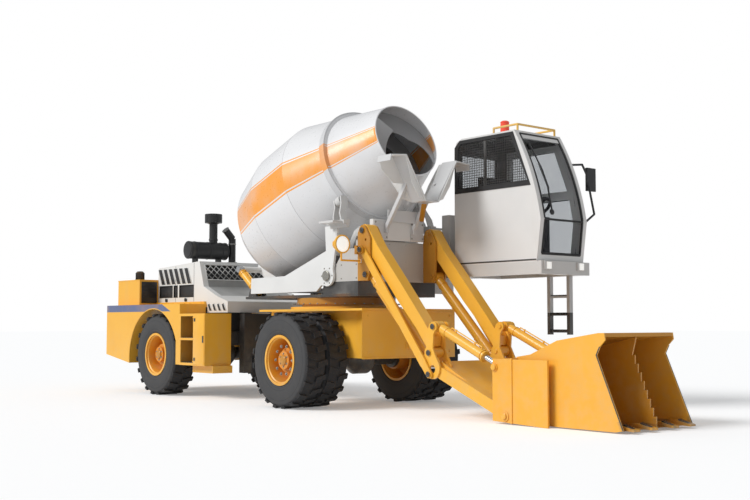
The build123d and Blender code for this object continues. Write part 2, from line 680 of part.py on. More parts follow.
# Link bars below the upper arms, outside the plates
with BuildPart() as link_bars:
    add(flat_bar(LINK_TOP, LINK_LOW, LINK_WIDTH - 12, LINK_IN, LINK_OUT))
    bar_top = along(LINK_TOP, LINK_LOW, 150)
    bar_low = along(LINK_TOP, LINK_LOW, ARM_RUN - 150)
    add(flat_bar(bar_top, bar_low, LINK_WIDTH, LINK_IN, LINK_OUT))
    for pin in (LINK_TOP, LINK_LOW):
        add(disc(pin, PIN_RADIUS + PIN_GAP, LINK_IN - 1, LINK_OUT + 1), mode=Mode.SUBTRACT)
    mirror(about=Plane.XZ)

# Front arms: elbow plates, lower bars, open cross tube and the curved chute plate between them
ELBOW_OUTLINE = (
    (1888, 700), (1886, 868), (1940, 985), (1990, 1010), (2036, 990), (2040, 945), (2002, 880), (1990, 728),
    (2036, 640), (2096, 545), (2092, 480), (2045, 425), (1965, 405), (1870, 470), (1832, 540), (1850, 640),
)
LOWER_IN = LOWER_MIDDLE - LOWER_WIDTH / 2
LOWER_OUT = LOWER_MIDDLE + LOWER_WIDTH / 2
ELBOW_IN = CLEVIS_IN
ELBOW_OUT = CLEVIS_OUT
EYE_ROOM = 62.0
CHUTE_START = (2035.0, 590.0)
CHUTE_MIDDLE = (2380.0, 330.0)
CHUTE_END = (2800.0, 250.0)
CHUTE_PLATE = 14.0
with BuildPart() as front_arms:
    add(prism(ELBOW_OUTLINE, ELBOW_OUT, ELBOW_OUT + ARM_PLATE))
    add(prism(ELBOW_OUTLINE, ELBOW_IN - ARM_PLATE, ELBOW_IN))
    for hole, eye in ((ELBOW_PIN, 70), (TILT_BASE, 52), (LINK_LOW, 48), (CROSS_TUBE, 105)):
        add(disc(hole, eye, ELBOW_OUT, ELBOW_OUT + ARM_PLATE))
        add(disc(hole, eye, ELBOW_IN - ARM_PLATE, ELBOW_IN))
    for hole in (ELBOW_PIN, TILT_BASE):
        add(disc(hole, PIN_RADIUS, ELBOW_IN - ARM_PLATE - PIN_HEAD, ELBOW_OUT + ARM_PLATE + PIN_HEAD))
    bar_start = along(CROSS_TUBE, BUCKET_PIVOT, EYE_ROOM)
    add(flat_bar(bar_start, BUCKET_PIVOT, LOWER_WIDTH, LOWER_IN, LOWER_OUT))
    add(flat_bar(bar_start, along(CROSS_TUBE, BUCKET_PIVOT, 160), LOWER_WIDTH - 30, ELBOW_IN, LOWER_IN))
    add(disc(BUCKET_PIVOT, PIN_RADIUS + PIN_GAP, LOWER_IN - 1, LOWER_OUT + 1), mode=Mode.SUBTRACT)
    add(prism((CHUTE_START, (2500, 360), (2300, 330), (2060, 440)), LOWER_MIDDLE - 10, LOWER_MIDDLE + 10))
    mirror(about=Plane.XZ)
    add(disc(CROSS_TUBE, CROSS_RADIUS, -ELBOW_IN, ELBOW_IN))
    with BuildSketch(Plane.XZ.offset(-LOWER_IN)):
        with BuildLine():
            ThreePointArc(CHUTE_START, CHUTE_MIDDLE, CHUTE_END)
            Line(CHUTE_END, (CHUTE_END[0], CHUTE_END[1] - CHUTE_PLATE))
            ThreePointArc(
                (CHUTE_END[0], CHUTE_END[1] - CHUTE_PLATE),
                (CHUTE_MIDDLE[0] - CHUTE_PLATE / 2, CHUTE_MIDDLE[1] - CHUTE_PLATE),
                (CHUTE_START[0] - CHUTE_PLATE, CHUTE_START[1] - CHUTE_PLATE),
            )
            Line((CHUTE_START[0] - CHUTE_PLATE, CHUTE_START[1] - CHUTE_PLATE), CHUTE_START)
        make_face()
    extrude(amount=2 * LOWER_IN)
    tube_end = ELBOW_OUT + ARM_PLATE + 1
    add(disc(CROSS_TUBE, CROSS_RADIUS - 16, -tube_end, tube_end), mode=Mode.SUBTRACT)
    for side in (-1, 1):
        low, high = sorted((side * ELBOW_OUT, side * (LINK_OUT + PIN_HEAD)))
        add(disc(LINK_LOW, PIN_RADIUS, low, high))

# Bucket: hollow box with a divider, rear side plates, lugs and a toothed lip
BUCKET_HALF = 535.0
BUCKET_WALL = 14.0
BUCKET_OUTLINE = (
    (2960, 20), (2990, 12), (4310, 12), (4400, 30), (4110, 700), (4150, 780), (4210, 840),
    (4200, 905), (4130, 905), (3640, 830), (3300, 690), (2960, 640),
)
BUCKET_INSIDE = (
    (2990, 60), (3020, 30), (4500, 30), (4500, 860), (4210, 870), (3645, 812), (3305, 672), (2990, 622),
)
BUCKET_SIDE = ((2872, 25), (3590, 0), (3590, 640), (2872, 640))
LUG_OUT = LOWER_OUT + SIDE_GAP
LUG_IN = LOWER_IN - SIDE_GAP
LUG_PLATE = 24.0
SAW_TEETH = 8
SAW_DEPTH = 30.0
SAW_LOW = (4375.0, 45.0)
SAW_HIGH = (4112.0, 690.0)
saw_edge = []
for tooth in range(SAW_TEETH):
    foot = along(SAW_LOW, SAW_HIGH, math.dist(SAW_LOW, SAW_HIGH) * tooth / SAW_TEETH)
    tip = along(SAW_LOW, SAW_HIGH, math.dist(SAW_LOW, SAW_HIGH) * (tooth + 0.9) / SAW_TEETH)
    saw_edge += [foot, (tip[0] + SAW_DEPTH, tip[1] + SAW_DEPTH * 0.4)]
with BuildPart() as bucket:
    add(prism(BUCKET_OUTLINE, -BUCKET_HALF, BUCKET_HALF))
    add(prism(BUCKET_INSIDE, BUCKET_WALL - BUCKET_HALF, BUCKET_HALF - BUCKET_WALL), mode=Mode.SUBTRACT)
    add(prism(((3020, 30), (4380, 30), *saw_edge, SAW_HIGH, (4160, 860), (3300, 680), (3020, 600)), -8, 8))
    for side in (-1, 1):
        pocket = sorted((side * (LOWER_IN - 30), side * (LOWER_OUT + 40)))
        add(block(2960, 3120, *pocket, 5, 660), mode=Mode.SUBTRACT)
        add(block(3120, 3140, *sorted((side * (LOWER_IN - 30), side * (LOWER_OUT + 40))), 12, 650))
        add(prism(BUCKET_SIDE, *sorted((side * LUG_OUT, side * (LUG_OUT + LUG_PLATE)))))
        inner_lug = sorted((side * LUG_IN, side * (LUG_IN - LUG_PLATE)))
        add(prism(((2872, 25), (3140, 12), (3140, 650), (2872, 640)), *inner_lug))
        pin_run = sorted((side * (LUG_IN - LUG_PLATE - 10), side * (LUG_OUT + LUG_PLATE + 22)))
        add(disc(BUCKET_PIVOT, PIN_RADIUS, *pin_run))
        add(disc(BUCKET_PIVOT, 52, *sorted((side * LUG_OUT, side * (LUG_OUT + LUG_PLATE + 10)))))
        add(disc(TILT_EYE, 40, *sorted((side * LUG_OUT, side * (LUG_OUT + LUG_PLATE + 14)))))
        add(disc(TILT_EYE, PIN_RADIUS, *sorted((side * LUG_OUT, side * (LUG_OUT + LUG_PLATE + 24)))))
        add(disc(TILT_EYE, PIN_RADIUS, *sorted((side * (LUG_IN - LUG_PLATE - 10), side * LUG_IN))))
        for y in (163, 430):
            tooth_side = ((4250, 30), (4475, 22), (4475, 40), (4330, 70), (4250, 70))
            add(prism(tooth_side, side * y - 45, side * y + 45))

# Hydraulic cylinders: barrel on its base pin, rod to the eye
def barrel(base, eye, eye_width, bore_radius, radius, length, y):
    """Cylinder barrel at one side, pinned at base, pointing at eye."""
    head = along(base, eye, length)
    start = along(base, eye, radius * 1.3)
    with BuildPart() as piece:
        add(bar((start[0], y, start[1]), (head[0], y, head[1]), radius))
        add(bar((base[0], y, base[1]), (start[0], y, start[1]), radius * 0.8))
        add(disc(base, radius * 1.1, y - eye_width / 2, y + eye_width / 2))
        add(disc(base, PIN_RADIUS + PIN_GAP, y - eye_width, y + eye_width), mode=Mode.SUBTRACT)
        bottom = along(base, eye, radius * 1.9)
        deep = along(base, eye, length + 1)
        add(bar((bottom[0], y, bottom[1]), (deep[0], y, deep[1]), bore_radius), mode=Mode.SUBTRACT)
    return piece.part


def rod(base, eye, eye_width, rod_radius, eye_radius, piston_at, y):
    """Cylinder rod at one side, pinned at eye, reaching back into the barrel."""
    tail = along(base, eye, piston_at)
    with BuildPart() as piece:
        add(bar((tail[0], y, tail[1]), (eye[0], y, eye[1]), rod_radius))
        add(disc(eye, eye_radius, y - eye_width / 2, y + eye_width / 2))
    return piece.part


LIFT_LENGTH = math.dist(LIFT_BASE, LIFT_EYE)
TILT_LENGTH = math.dist(TILT_BASE, TILT_EYE)
DRUM_LIFT_LENGTH = math.dist(DRUM_LIFT_BASE, DRUM_LIFT_EYE)
LIFT_EYE_WIDTH = ARM_WIDTH - 20
TILT_EYE_WIDTH = LOWER_WIDTH - 20
LIFT_RADIUS = 55.0
LIFT_ROD = 30.0
TILT_RADIUS = 52.0
TILT_ROD = 28.0
DRUM_LIFT_RADIUS = 48.0
DRUM_LIFT_ROD = 26.0
ROD_GAP = 0.2
lift_barrel = barrel(
    LIFT_BASE, LIFT_EYE, LIFT_EYE_WIDTH, LIFT_ROD + ROD_GAP, LIFT_RADIUS, LIFT_LENGTH - 110, ARM_MIDDLE
)
lift_rod = rod(LIFT_BASE, LIFT_EYE, LIFT_EYE_WIDTH, LIFT_ROD, 40, 150, ARM_MIDDLE)
tilt_barrel = barrel(
    TILT_BASE, TILT_EYE, TILT_EYE_WIDTH, TILT_ROD + ROD_GAP, TILT_RADIUS, TILT_LENGTH - 230, LOWER_MIDDLE
)
tilt_rod = rod(TILT_BASE, TILT_EYE, TILT_EYE_WIDTH, TILT_ROD, 44, 190, LOWER_MIDDLE)
drum_barrel = barrel(
    DRUM_LIFT_BASE, DRUM_LIFT_EYE, 70, DRUM_LIFT_ROD + ROD_GAP, DRUM_LIFT_RADIUS, DRUM_LIFT_LENGTH - 75, DRUM_LIFT_Y
)
drum_rod = rod(DRUM_LIFT_BASE, DRUM_LIFT_EYE, 70, DRUM_LIFT_ROD, 44, 110, DRUM_LIFT_Y)
with BuildPart() as lift_cylinder_barrels:
    add(lift_barrel)
    mirror(about=Plane.XZ)
with BuildPart() as lift_cylinder_rods:
    add(lift_rod)
    mirror(about=Plane.XZ)
with BuildPart() as tilt_cylinder_barrels:
    add(tilt_barrel)
    mirror(about=Plane.XZ)
with BuildPart() as tilt_cylinder_rods:
    add(tilt_rod)
    mirror(about=Plane.XZ)
with BuildPart() as drum_cylinder_barrels:
    add(drum_barrel)
    mirror(about=Plane.XZ)
with BuildPart() as drum_cylinder_rods:
    add(drum_rod)
    mirror(about=Plane.XZ)

# Drum axis: a plane at the mouth, its Z pointing back and down along the axis
BACK = Vector(-math.cos(math.radians(DRUM_TILT)), 0, -math.sin(math.radians(DRUM_TILT)))
DOWN = Vector(math.sin(math.radians(DRUM_TILT)), 0, -math.cos(math.radians(DRUM_TILT)))
DRUM_PLANE = Plane(origin=(MOUTH[0], 0, MOUTH[1]), x_dir=(0, 1, 0), z_dir=BACK)


def drum_point(back, down):
    """Side-view point at a distance back along the drum's axis and down from it."""
    x = MOUTH[0] + back * BACK.X - down * BACK.Z
    return (x, MOUTH[1] + back * BACK.Z + down * BACK.X)


# Columns: distance back from the mouth, outer radius
DRUM_PROFILE = (
    (0, 466), (30, 470), (660, 690), (1316, 914), (2040, 920), (2570, 800), (2720, 690), (2830, 480),
    (DRUM_END, 240),
)
RING_LOW = 665.0
RING_HIGH = 755.0
RING_OUTER = 745.0
DRUM_INSIDE = [(0, DRUM_PROFILE[0][1] - DRUM_WALL)]
for back, radius in DRUM_PROFILE[2:]:
    DRUM_INSIDE.append((back - DRUM_WALL, radius - DRUM_WALL))


def wall_radius(back):
    """Inner radius of the drum at a distance back from its mouth."""
    for (near, near_radius), (far, far_radius) in zip(DRUM_INSIDE, DRUM_INSIDE[1:]):
        if near <= back <= far:
            return near_radius + (far_radius - near_radius) * (back - near) / (far - near)
    return 0.0


with BuildPart() as drum_shell:
    with BuildSketch(Plane(origin=DRUM_PLANE.origin, x_dir=DRUM_PLANE.x_dir, z_dir=DRUM_PLANE.y_dir)) as section:
        with BuildLine():
            outer = [(radius, -back) for back, radius in DRUM_PROFILE]
            inner = [(radius, -back) for back, radius in reversed(DRUM_INSIDE)]
            Polyline(
                *outer,
                (0, -DRUM_PROFILE[-1][0]),
                (0, -DRUM_PROFILE[-1][0] + DRUM_WALL),
                *inner,
                close=True,
            )
        make_face()
        with BuildLine():
            Polyline(
                (wall_radius(RING_LOW) + DRUM_WALL / 2, -RING_LOW),
                (RING_OUTER, -RING_LOW),
                (RING_OUTER, -RING_HIGH),
                (wall_radius(RING_HIGH) + DRUM_WALL / 2, -RING_HIGH),
                close=True,
            )
        make_face()
    revolve(axis=Axis(DRUM_PLANE.origin, BACK))
    with BuildSketch(DRUM_PLANE.offset(DRUM_END)):
        Circle(130)
    extrude(amount=GEARBOX_START - DRUM_END - 2 * SEAT_GAP)

# Drum blades: two spiral strips that stand on the wall
BLADE_PITCH = 900.0
BLADE_THICKNESS = 12.0
BLADE_START = 130.0
BLADE_STEPS = 19
BLADE_TURN = 24.0


def blade(start_angle):
    """Spiral strip on the drum's wall, made of straight pieces between radial sections."""
    with BuildPart() as piece:
        for step in range(BLADE_STEPS + 1):
            turn = math.radians(start_angle + step * BLADE_TURN)
            back = BLADE_START + step * BLADE_TURN * BLADE_PITCH / 360
            tip = wall_radius(back - BLADE_THICKNESS / 2) - SEAT_GAP
            height = min(250.0, 90.0 + step * 30.0)
            outwards = Vector(0, math.cos(turn), 0) + DOWN * math.sin(turn)
            around = Vector(0, -math.sin(turn), 0) + DOWN * math.cos(turn)
            with BuildSketch(Plane(origin=DRUM_PLANE.origin + BACK * back, x_dir=outwards, z_dir=around)):
                with Locations((tip - height / 2, 0)):
                    Rectangle(height, BLADE_THICKNESS)
        loft(ruled=True)
    return piece.part


with BuildPart() as drum_blades:
    add(blade(20.0))
    add(blade(200.0))

# Gearbox on the drum's end
with BuildPart() as drum_gearbox:
    with BuildSketch(DRUM_PLANE.offset(GEARBOX_START)):
        Circle(150)
    extrude(amount=GEARBOX_END - GEARBOX_START)
    with BuildSketch(DRUM_PLANE.offset(GEARBOX_END)):
        Circle(190)
    extrude(amount=30)

# Cradle: side plates, rear cross beam, gearbox stand and front cross beam
CRADLE_OUTLINE = (
    (-1440, 1378), (-20, 1378), (80, 1450), (190, 1440), (280, 1480), (310, 1560), (300, 1650),
    (390, 2060), (390, 2150), (150, 2150), (170, 1857), (-676, 1584), (-1430, 1577),
)
STAND_REAR = GEARBOX_END - SEAT_GAP
STAND_OUTLINE = (
    (-1320, 1400), (-1320, 1470), (-1450, 1520), (-1630, 1680), (-1780, 1900), drum_point(2931, 150),
    drum_point(2931, -150), drum_point(STAND_REAR, -150), drum_point(STAND_REAR, 190),
    (-1975, 1780), (-1975, 1690), (-1900, 1670), (-1620, 1470), (-1420, 1400),
)
FRONT_BEAM = (
    (180, 1800), (320, 1800), (440, 2030), (735, 2090), (735, 2150), (500, 2150), (400, 2100), (280, 1920),
    (180, 1900),
)
APRON_HALF = 400.0
with BuildPart() as cradle:
    add(prism(CRADLE_OUTLINE, CRADLE_IN, CRADLE_IN + CRADLE_PLATE))
    add(disc(CRADLE_PIVOT, 125, CRADLE_IN, CRADLE_IN + CRADLE_PLATE))
    add(disc(CRADLE_PIVOT, CRADLE_PIN + PIN_GAP, CRADLE_IN - 1, CRADLE_IN + CRADLE_PLATE + 1), mode=Mode.SUBTRACT)
    add(prism(STAND_OUTLINE, 155, 180))
    mirror(about=Plane.XZ)
    add(block(-1420, -1320, -CRADLE_IN, CRADLE_IN, 1400, 1470))
    add(block(180, 300, -CRADLE_IN, CRADLE_IN, 1800, 1900))
    add(prism(FRONT_BEAM, -APRON_HALF, APRON_HALF))
    add(block(690, 735, -APRON_HALF, APRON_HALF, 2120, 2219))
    add(block(735, 751, -APRON_HALF, APRON_HALF, 1975, 2219))
    add(disc(DRUM_LIFT_EYE, 42, -DRUM_LIFT_Y + 45, DRUM_LIFT_Y - 45))

# Drum rollers under the ring, each on a bracket with a shelf
ROLLER_RADIUS = 60.0
ROLLER_ANGLE = 50.0
ROLLER_GAP = 0.4
FOOT_OUT = 735.0
CRADLE_TOP = 2150.0
ring_middle = DRUM_PLANE.origin + BACK * ((RING_LOW + RING_HIGH) / 2)
roller_reach = RING_OUTER + ROLLER_RADIUS + ROLLER_GAP
roller_centre = (
    ring_middle
    + DOWN * (roller_reach * math.cos(math.radians(ROLLER_ANGLE)))
    + Vector(0, roller_reach * math.sin(math.radians(ROLLER_ANGLE)), 0)
)
with BuildPart() as roller_brackets:
    with BuildSketch(Plane(origin=roller_centre - BACK * 40, z_dir=BACK)):
        Circle(ROLLER_RADIUS)
    extrude(amount=80)
    with BuildSketch(Plane(origin=roller_centre - BACK * 75, z_dir=BACK)):
        Circle(22)
    extrude(amount=150)
    for shift in (-75, 55):
        plate_plane = Plane(origin=roller_centre + BACK * shift, x_dir=(0, 1, 0), z_dir=BACK)
        with BuildSketch(plate_plane):
            with BuildLine():
                Polyline(
                    (-45, -40), (45, -40), (60, 60), (118, 190), (118, 290), (28, 290), (28, 160), (-45, 60),
                    close=True,
                )
            make_face()
        extrude(amount=20)
    add(block(300, 390, CRADLE_IN + 2, FOOT_OUT, CRADLE_TOP, CRADLE_TOP + 50))
    add(block(390, 620, CRADLE_IN + CRADLE_PLATE - 5, FOOT_OUT, CRADLE_TOP, CRADLE_TOP + 50))
    add(block(330, 600, FOOT_OUT, 880, CRADLE_TOP + 10, CRADLE_TOP + 36))
    add(block(300, 620, CRADLE_IN + CRADLE_PLATE, CRADLE_IN + CRADLE_PLATE + 40, CRADLE_TOP - 40, CRADLE_TOP))
    mirror(about=Plane.XZ)

# Hopper: folded side plates, struts on bolted brackets, cross plate and gussets
with BuildPart() as feed_hopper:
    with BuildSketch(Plane.YZ.offset(1100)):
        with BuildLine():
            Polyline(
                (80, 2400), (110, 2400), (400, 2900), (606, 2880), (620, 2820), (636, 2822), (620, 2896),
                (392, 2916), (80, 2420), close=True,
            )
        make_face()
    extrude(amount=230)
    with BuildSketch(Plane.XZ.offset(-235)):
        with BuildLine():
            Polyline((760, 2140), (800, 2110), (1180, 2640), (1120, 2640), close=True)
        make_face()
    extrude(amount=40)
    add(block(751, 763, 180, 392, 1990, 2205))
    add(block(763, 800, 195, 235, 2060, 2170))
    mirror(about=Plane.XZ)
    add(block(820, 832, -235, 235, 2190, 2330))
    add(block(1100, 1330, -85, 85, 2400, 2414))

# Cab: base with bumper, hollow shell with its windows, floor, glass, door
WINDSCREEN_TOP = (1975.0, CAB_ROOF)
WINDSCREEN_MIDDLE = (2235.0, 2700.0)
WINDSCREEN_LOW = (2370.0, 2170.0)
WINDSCREEN_FOOT = (2305.0, CAB_FLOOR)


def cab_profile(inset, y_low, y_high):
    """Solid of the cab's side profile, drawn in by inset, from y_low to y_high."""
    with BuildPart() as piece:
        with BuildSketch(Plane.XZ.offset(-y_high)):
            with BuildLine():
                Polyline(
                    WINDSCREEN_LOW, WINDSCREEN_FOOT, (CAB_REAR, CAB_FLOOR), (CAB_REAR, CAB_ROOF - 120),
                    (CAB_REAR + 40, CAB_ROOF - 35), (CAB_REAR + 130, CAB_ROOF), WINDSCREEN_TOP,
                )
                ThreePointArc(WINDSCREEN_TOP, WINDSCREEN_MIDDLE, WINDSCREEN_LOW)
            make_face()
            if inset:
                offset(amount=-inset, mode=Mode.REPLACE)
        extrude(amount=y_high - y_low)
    return piece.part


SIDE_WINDOW = ((1050, 2620), (1050, 3120), (1110, 3175), (1930, 3175), (2190, 2620))
DOOR_OUTLINE = (
    (HINGE_X, CAB_FLOOR + 30), (HINGE_X, 3130), (1960, 3130), (2180, 2640), (2270, 2170), (2215, CAB_FLOOR + 30),
)
DOOR_UPPER = ((1200, 2560), (1200, 3060), (1910, 3060), (2110, 2560))
DOOR_LOWER = ((1330, 1800), (1330, 2460), (2140, 2460), (2195, 2170), (2150, 1800))


def grown(outline, amount):
    """The outline drawn outwards (or, if negative, inwards) as an exact prism sketch."""
    with BuildSketch(Plane.XY) as sketch:
        with BuildLine():
            Polyline(*outline, close=True)
        make_face()
        if amount:
            offset(amount=amount, kind=Kind.INTERSECTION, mode=Mode.REPLACE)
    return sketch.sketch


def window(outline, amount, y_low, y_high):
    """Prism of an outline drawn out by amount, from y_low to y_high."""
    face = Plane.XZ.offset(-y_high) * grown(outline, amount)
    return extrude(face, amount=y_high - y_low)


HEAD_LAMPS = (812.0, 1380.0)
with BuildPart() as cab_base:
    add(block(CAB_REAR - 30, CAB_FRONT, CAB_RIGHT, CAB_LEFT, CAB_BASE, CAB_FLOOR))
    add(block(CAB_FRONT - 60, CAB_FRONT, CAB_RIGHT, CAB_LEFT + 30, CAB_BASE, CAB_FLOOR + 10))
    add(
        block(CAB_REAR + 60, CAB_FRONT - 120, CAB_RIGHT + 60, CAB_LEFT - 60, CAB_BASE, CAB_FLOOR - 40),
        mode=Mode.SUBTRACT,
    )
    for y in HEAD_LAMPS:
        add(block(CAB_FRONT, CAB_FRONT + 16, y - 72, y + 72, CAB_BASE + 50, CAB_BASE + 144))

RAIL_RADIUS = 13.0
RAIL_RISE = 75.0
with BuildPart() as cab_shell:
    add(cab_profile(0, CAB_RIGHT, CAB_LEFT))
    add(cab_profile(CAB_WALL, CAB_RIGHT + CAB_WALL, CAB_LEFT - CAB_WALL), mode=Mode.SUBTRACT)
    add(window(SIDE_WINDOW, 0, CAB_RIGHT - 1, CAB_RIGHT + CAB_WALL + 1), mode=Mode.SUBTRACT)
    add(window(DOOR_OUTLINE, 0, CAB_LEFT - CAB_WALL - 1, CAB_LEFT + 1), mode=Mode.SUBTRACT)
    add(block(1900, CAB_FRONT + 40, CAB_RIGHT + 75, CAB_LEFT - 75, CAB_FLOOR + 90, 3140), mode=Mode.SUBTRACT)
    add(
        block(CAB_REAR - 1, CAB_REAR + CAB_WALL + 1, CAB_RIGHT + 90, CAB_LEFT - 90, 2560, 3060),
        mode=Mode.SUBTRACT,
    )
    rail = [(1580, CAB_RIGHT + 80), (1960, CAB_RIGHT + 80), (1960, CAB_LEFT - 80), (1580, CAB_LEFT - 80)]
    for (x, y), (next_x, next_y) in zip(rail, rail[1:]):
        add(bar((x, y, CAB_ROOF + RAIL_RISE), (next_x, next_y, CAB_ROOF + RAIL_RISE), RAIL_RADIUS))
    for x, y in rail:
        add(post(x, y, RAIL_RADIUS, CAB_ROOF - 10, CAB_ROOF + RAIL_RISE))
        with Locations((x, y, CAB_ROOF + RAIL_RISE)):
            Sphere(RAIL_RADIUS)
    add(block(1490, 1520, CAB_RIGHT, CAB_RIGHT + 11, 2600, 3190))
    for z in HINGE_LEVELS:
        add(block(HINGE_X - 45, HINGE_X, CAB_LEFT, HINGE_Y + HINGE_RADIUS, z, z + HINGE_HEIGHT))
        add(post(HINGE_X, HINGE_Y, HINGE_RADIUS, z, z + HINGE_HEIGHT))
        add(post(HINGE_X, HINGE_Y, HINGE_PIN, z, z + 2 * HINGE_HEIGHT + 5))

with BuildPart() as cab_glass:
    add(window(SIDE_WINDOW, -SEAL, CAB_RIGHT + 12, CAB_RIGHT + 12 + GLASS))
    rear_pane = (CAB_RIGHT + 90 + SEAL, CAB_LEFT - 90 - SEAL, 2560 + SEAL, 3060 - SEAL)
    add(block(CAB_REAR + 12, CAB_REAR + 12 + GLASS, *rear_pane))
    with BuildSketch(Plane.XZ.offset(-(CAB_LEFT - 75 - SEAL))):
        with BuildLine():
            inner = 2 * GLASS
            Polyline(
                (WINDSCREEN_LOW[0] - inner, WINDSCREEN_LOW[1]),
                (WINDSCREEN_FOOT[0] + 18 - inner, CAB_FLOOR + 90 + SEAL),
                (WINDSCREEN_FOOT[0] + 18 - inner - GLASS, CAB_FLOOR + 90 + SEAL),
                (WINDSCREEN_LOW[0] - inner - GLASS, WINDSCREEN_LOW[1]),
            )
            ThreePointArc(
                (WINDSCREEN_LOW[0] - inner - GLASS, WINDSCREEN_LOW[1]),
                (WINDSCREEN_MIDDLE[0] - inner - GLASS, WINDSCREEN_MIDDLE[1]),
                (2032 - inner - GLASS, 3140 - SEAL),
            )
            Line((2032 - inner - GLASS, 3140 - SEAL), (2032 - inner, 3140 - SEAL))
            ThreePointArc(
                (2032 - inner, 3140 - SEAL),
                (WINDSCREEN_MIDDLE[0] - inner, WINDSCREEN_MIDDLE[1]),
                (WINDSCREEN_LOW[0] - inner, WINDSCREEN_LOW[1]),
            )
        make_face()
    extrude(amount=CAB_LEFT - CAB_RIGHT - 150 - 2 * SEAL)

DOOR_THICKNESS = 38.0
with BuildPart() as cab_door:
    add(window(DOOR_OUTLINE, -DOOR_GAP, CAB_LEFT - DOOR_THICKNESS, CAB_LEFT))
    add(window(DOOR_UPPER, 0, CAB_LEFT - DOOR_THICKNESS - 1, CAB_LEFT + 1), mode=Mode.SUBTRACT)
    add(window(DOOR_LOWER, 0, CAB_LEFT - DOOR_THICKNESS - 1, CAB_LEFT + 1), mode=Mode.SUBTRACT)
    add(block(2060, 2150, CAB_LEFT, CAB_LEFT + 30, 2490, 2520))
    for z in HINGE_LEVELS:
        low, high = z + HINGE_HEIGHT + 1, z + 2 * HINGE_HEIGHT
        add(block(HINGE_X, HINGE_X + 50, CAB_LEFT, HINGE_Y + HINGE_RADIUS, low, high))
        add(post(HINGE_X, HINGE_Y, HINGE_RADIUS, low, high))
        add(post(HINGE_X, HINGE_Y, HINGE_PIN + PIN_GAP, low - 1, high + 1), mode=Mode.SUBTRACT)
with BuildPart() as door_glass:
    add(window(DOOR_UPPER, -SEAL, CAB_LEFT - 20, CAB_LEFT - 20 + GLASS))
    add(window(DOOR_LOWER, -SEAL, CAB_LEFT - 20, CAB_LEFT - 20 + GLASS))

with BuildPart() as cab_interior:
    add(block(1330, 1820, 850, 1350, 2060, 2170))
    add(block(1240, 1330, 860, 1340, 2060, 2760))
    add(block(1400, 1720, 950, 1250, CAB_FLOOR + CAB_WALL, 2060))
    add(block(2020, 2110, 1050, 1150, CAB_FLOOR + CAB_WALL, 2230))
    add(bar((2065, 1100, 2200), (1965, 1100, 2330), 22))
    with BuildSketch(Plane(origin=(1965, 1100, 2330), z_dir=(-100, 0, 130))):
        Circle(190)
        Circle(160, mode=Mode.SUBTRACT)
        Rectangle(330, 24)
        Circle(40)
    extrude(amount=26)

# What stands outside on the cab
COLUMN_IN = 752.0
with BuildPart() as cab_bracket:
    add(block(710, 840, COLUMN_IN, 1150, CAB_BASE, 2330))
    add(block(840, CAB_REAR - 30, 720, 1150, CAB_BASE, CAB_FLOOR))
    add(block(TOWER_REAR + 20, 500, TOWER_HALF, 1150, PLATFORM_TOP + 20, CAB_FLOOR))
    add(block(500, 710, 650, 1150, CAB_BASE, CAB_FLOOR))
    add(block(840, 850, COLUMN_IN + 10, COLUMN_IN + 50, 1870, 2070))
with BuildPart() as beacon:
    add(post(1460, 1100, 60, CAB_ROOF, CAB_ROOF + 30))
    add(post(1460, 1100, 52, CAB_ROOF + 30, CAB_ROOF + 150))
LADDER_Y = 1450.0
LADDER_RAILS = (1850.0, 2150.0)
with BuildPart() as cab_ladder:
    for x in LADDER_RAILS:
        add(block(x - 22, x + 22, LADDER_Y - 30, LADDER_Y + 30, 860, CAB_BASE))
    for z in (900, 1100, 1310):
        add(bar((LADDER_RAILS[0], LADDER_Y, z), (LADDER_RAILS[1], LADDER_Y, z), 16))
MIRROR_PATH = (
    (2115, CAB_LEFT + 8, 2880), (2190, CAB_LEFT + 150, 2890), (2190, CAB_LEFT + 230, 2780),
    (2290, CAB_LEFT + 240, 2290), (2330, CAB_LEFT + 8, 2170),
)
with BuildPart() as side_mirror:
    for start, end in zip(MIRROR_PATH, MIRROR_PATH[1:]):
        add(bar(start, end, 13))
    for corner in MIRROR_PATH[1:-1]:
        with Locations(corner):
            Sphere(13)
    for x, z in ((2115, 2880), (2330, 2170)):
        add(block(x - 22, x + 22, CAB_LEFT + SEAT_GAP, CAB_LEFT + 10, z - 30, z + 30))
    add(block(2175, 2205, CAB_LEFT + 225, CAB_LEFT + 385, 2580, 2860))
LAMP_Y = -893.0
LAMP_Z = 1895.0
LAMP_FACE = 800.0
LAMP_ROD_X = 775.0
LAMP_ROD_Z = 1712.0
with BuildPart() as work_lamp:
    with BuildSketch(Plane(origin=(LAMP_FACE - 110, LAMP_Y, LAMP_Z), z_dir=(1, 0, 0))):
        Circle(60)
    with BuildSketch(Plane(origin=(LAMP_FACE - 20, LAMP_Y, LAMP_Z), z_dir=(1, 0, 0))):
        Circle(100)
    loft()
    with BuildSketch(Plane(origin=(LAMP_FACE - 20, LAMP_Y, LAMP_Z), z_dir=(1, 0, 0))):
        Circle(104)
    extrude(amount=20)
    add(post(LAMP_ROD_X, LAMP_Y, 11, LAMP_ROD_Z, LAMP_Z - 60))
    with Locations((LAMP_ROD_X, LAMP_Y, LAMP_ROD_Z)):
        Sphere(11)
    rod_end = -CLEVIS_OUT - TOWER_PLATE - SEAT_GAP
    add(bar((LAMP_ROD_X, LAMP_Y, LAMP_ROD_Z), (LAMP_ROD_X, rod_end, LAMP_ROD_Z), 11))
    add(block(LAMP_ROD_X - 24, LAMP_ROD_X + 24, rod_end - 12, rod_end, LAMP_ROD_Z - 24, LAMP_ROD_Z + 24))

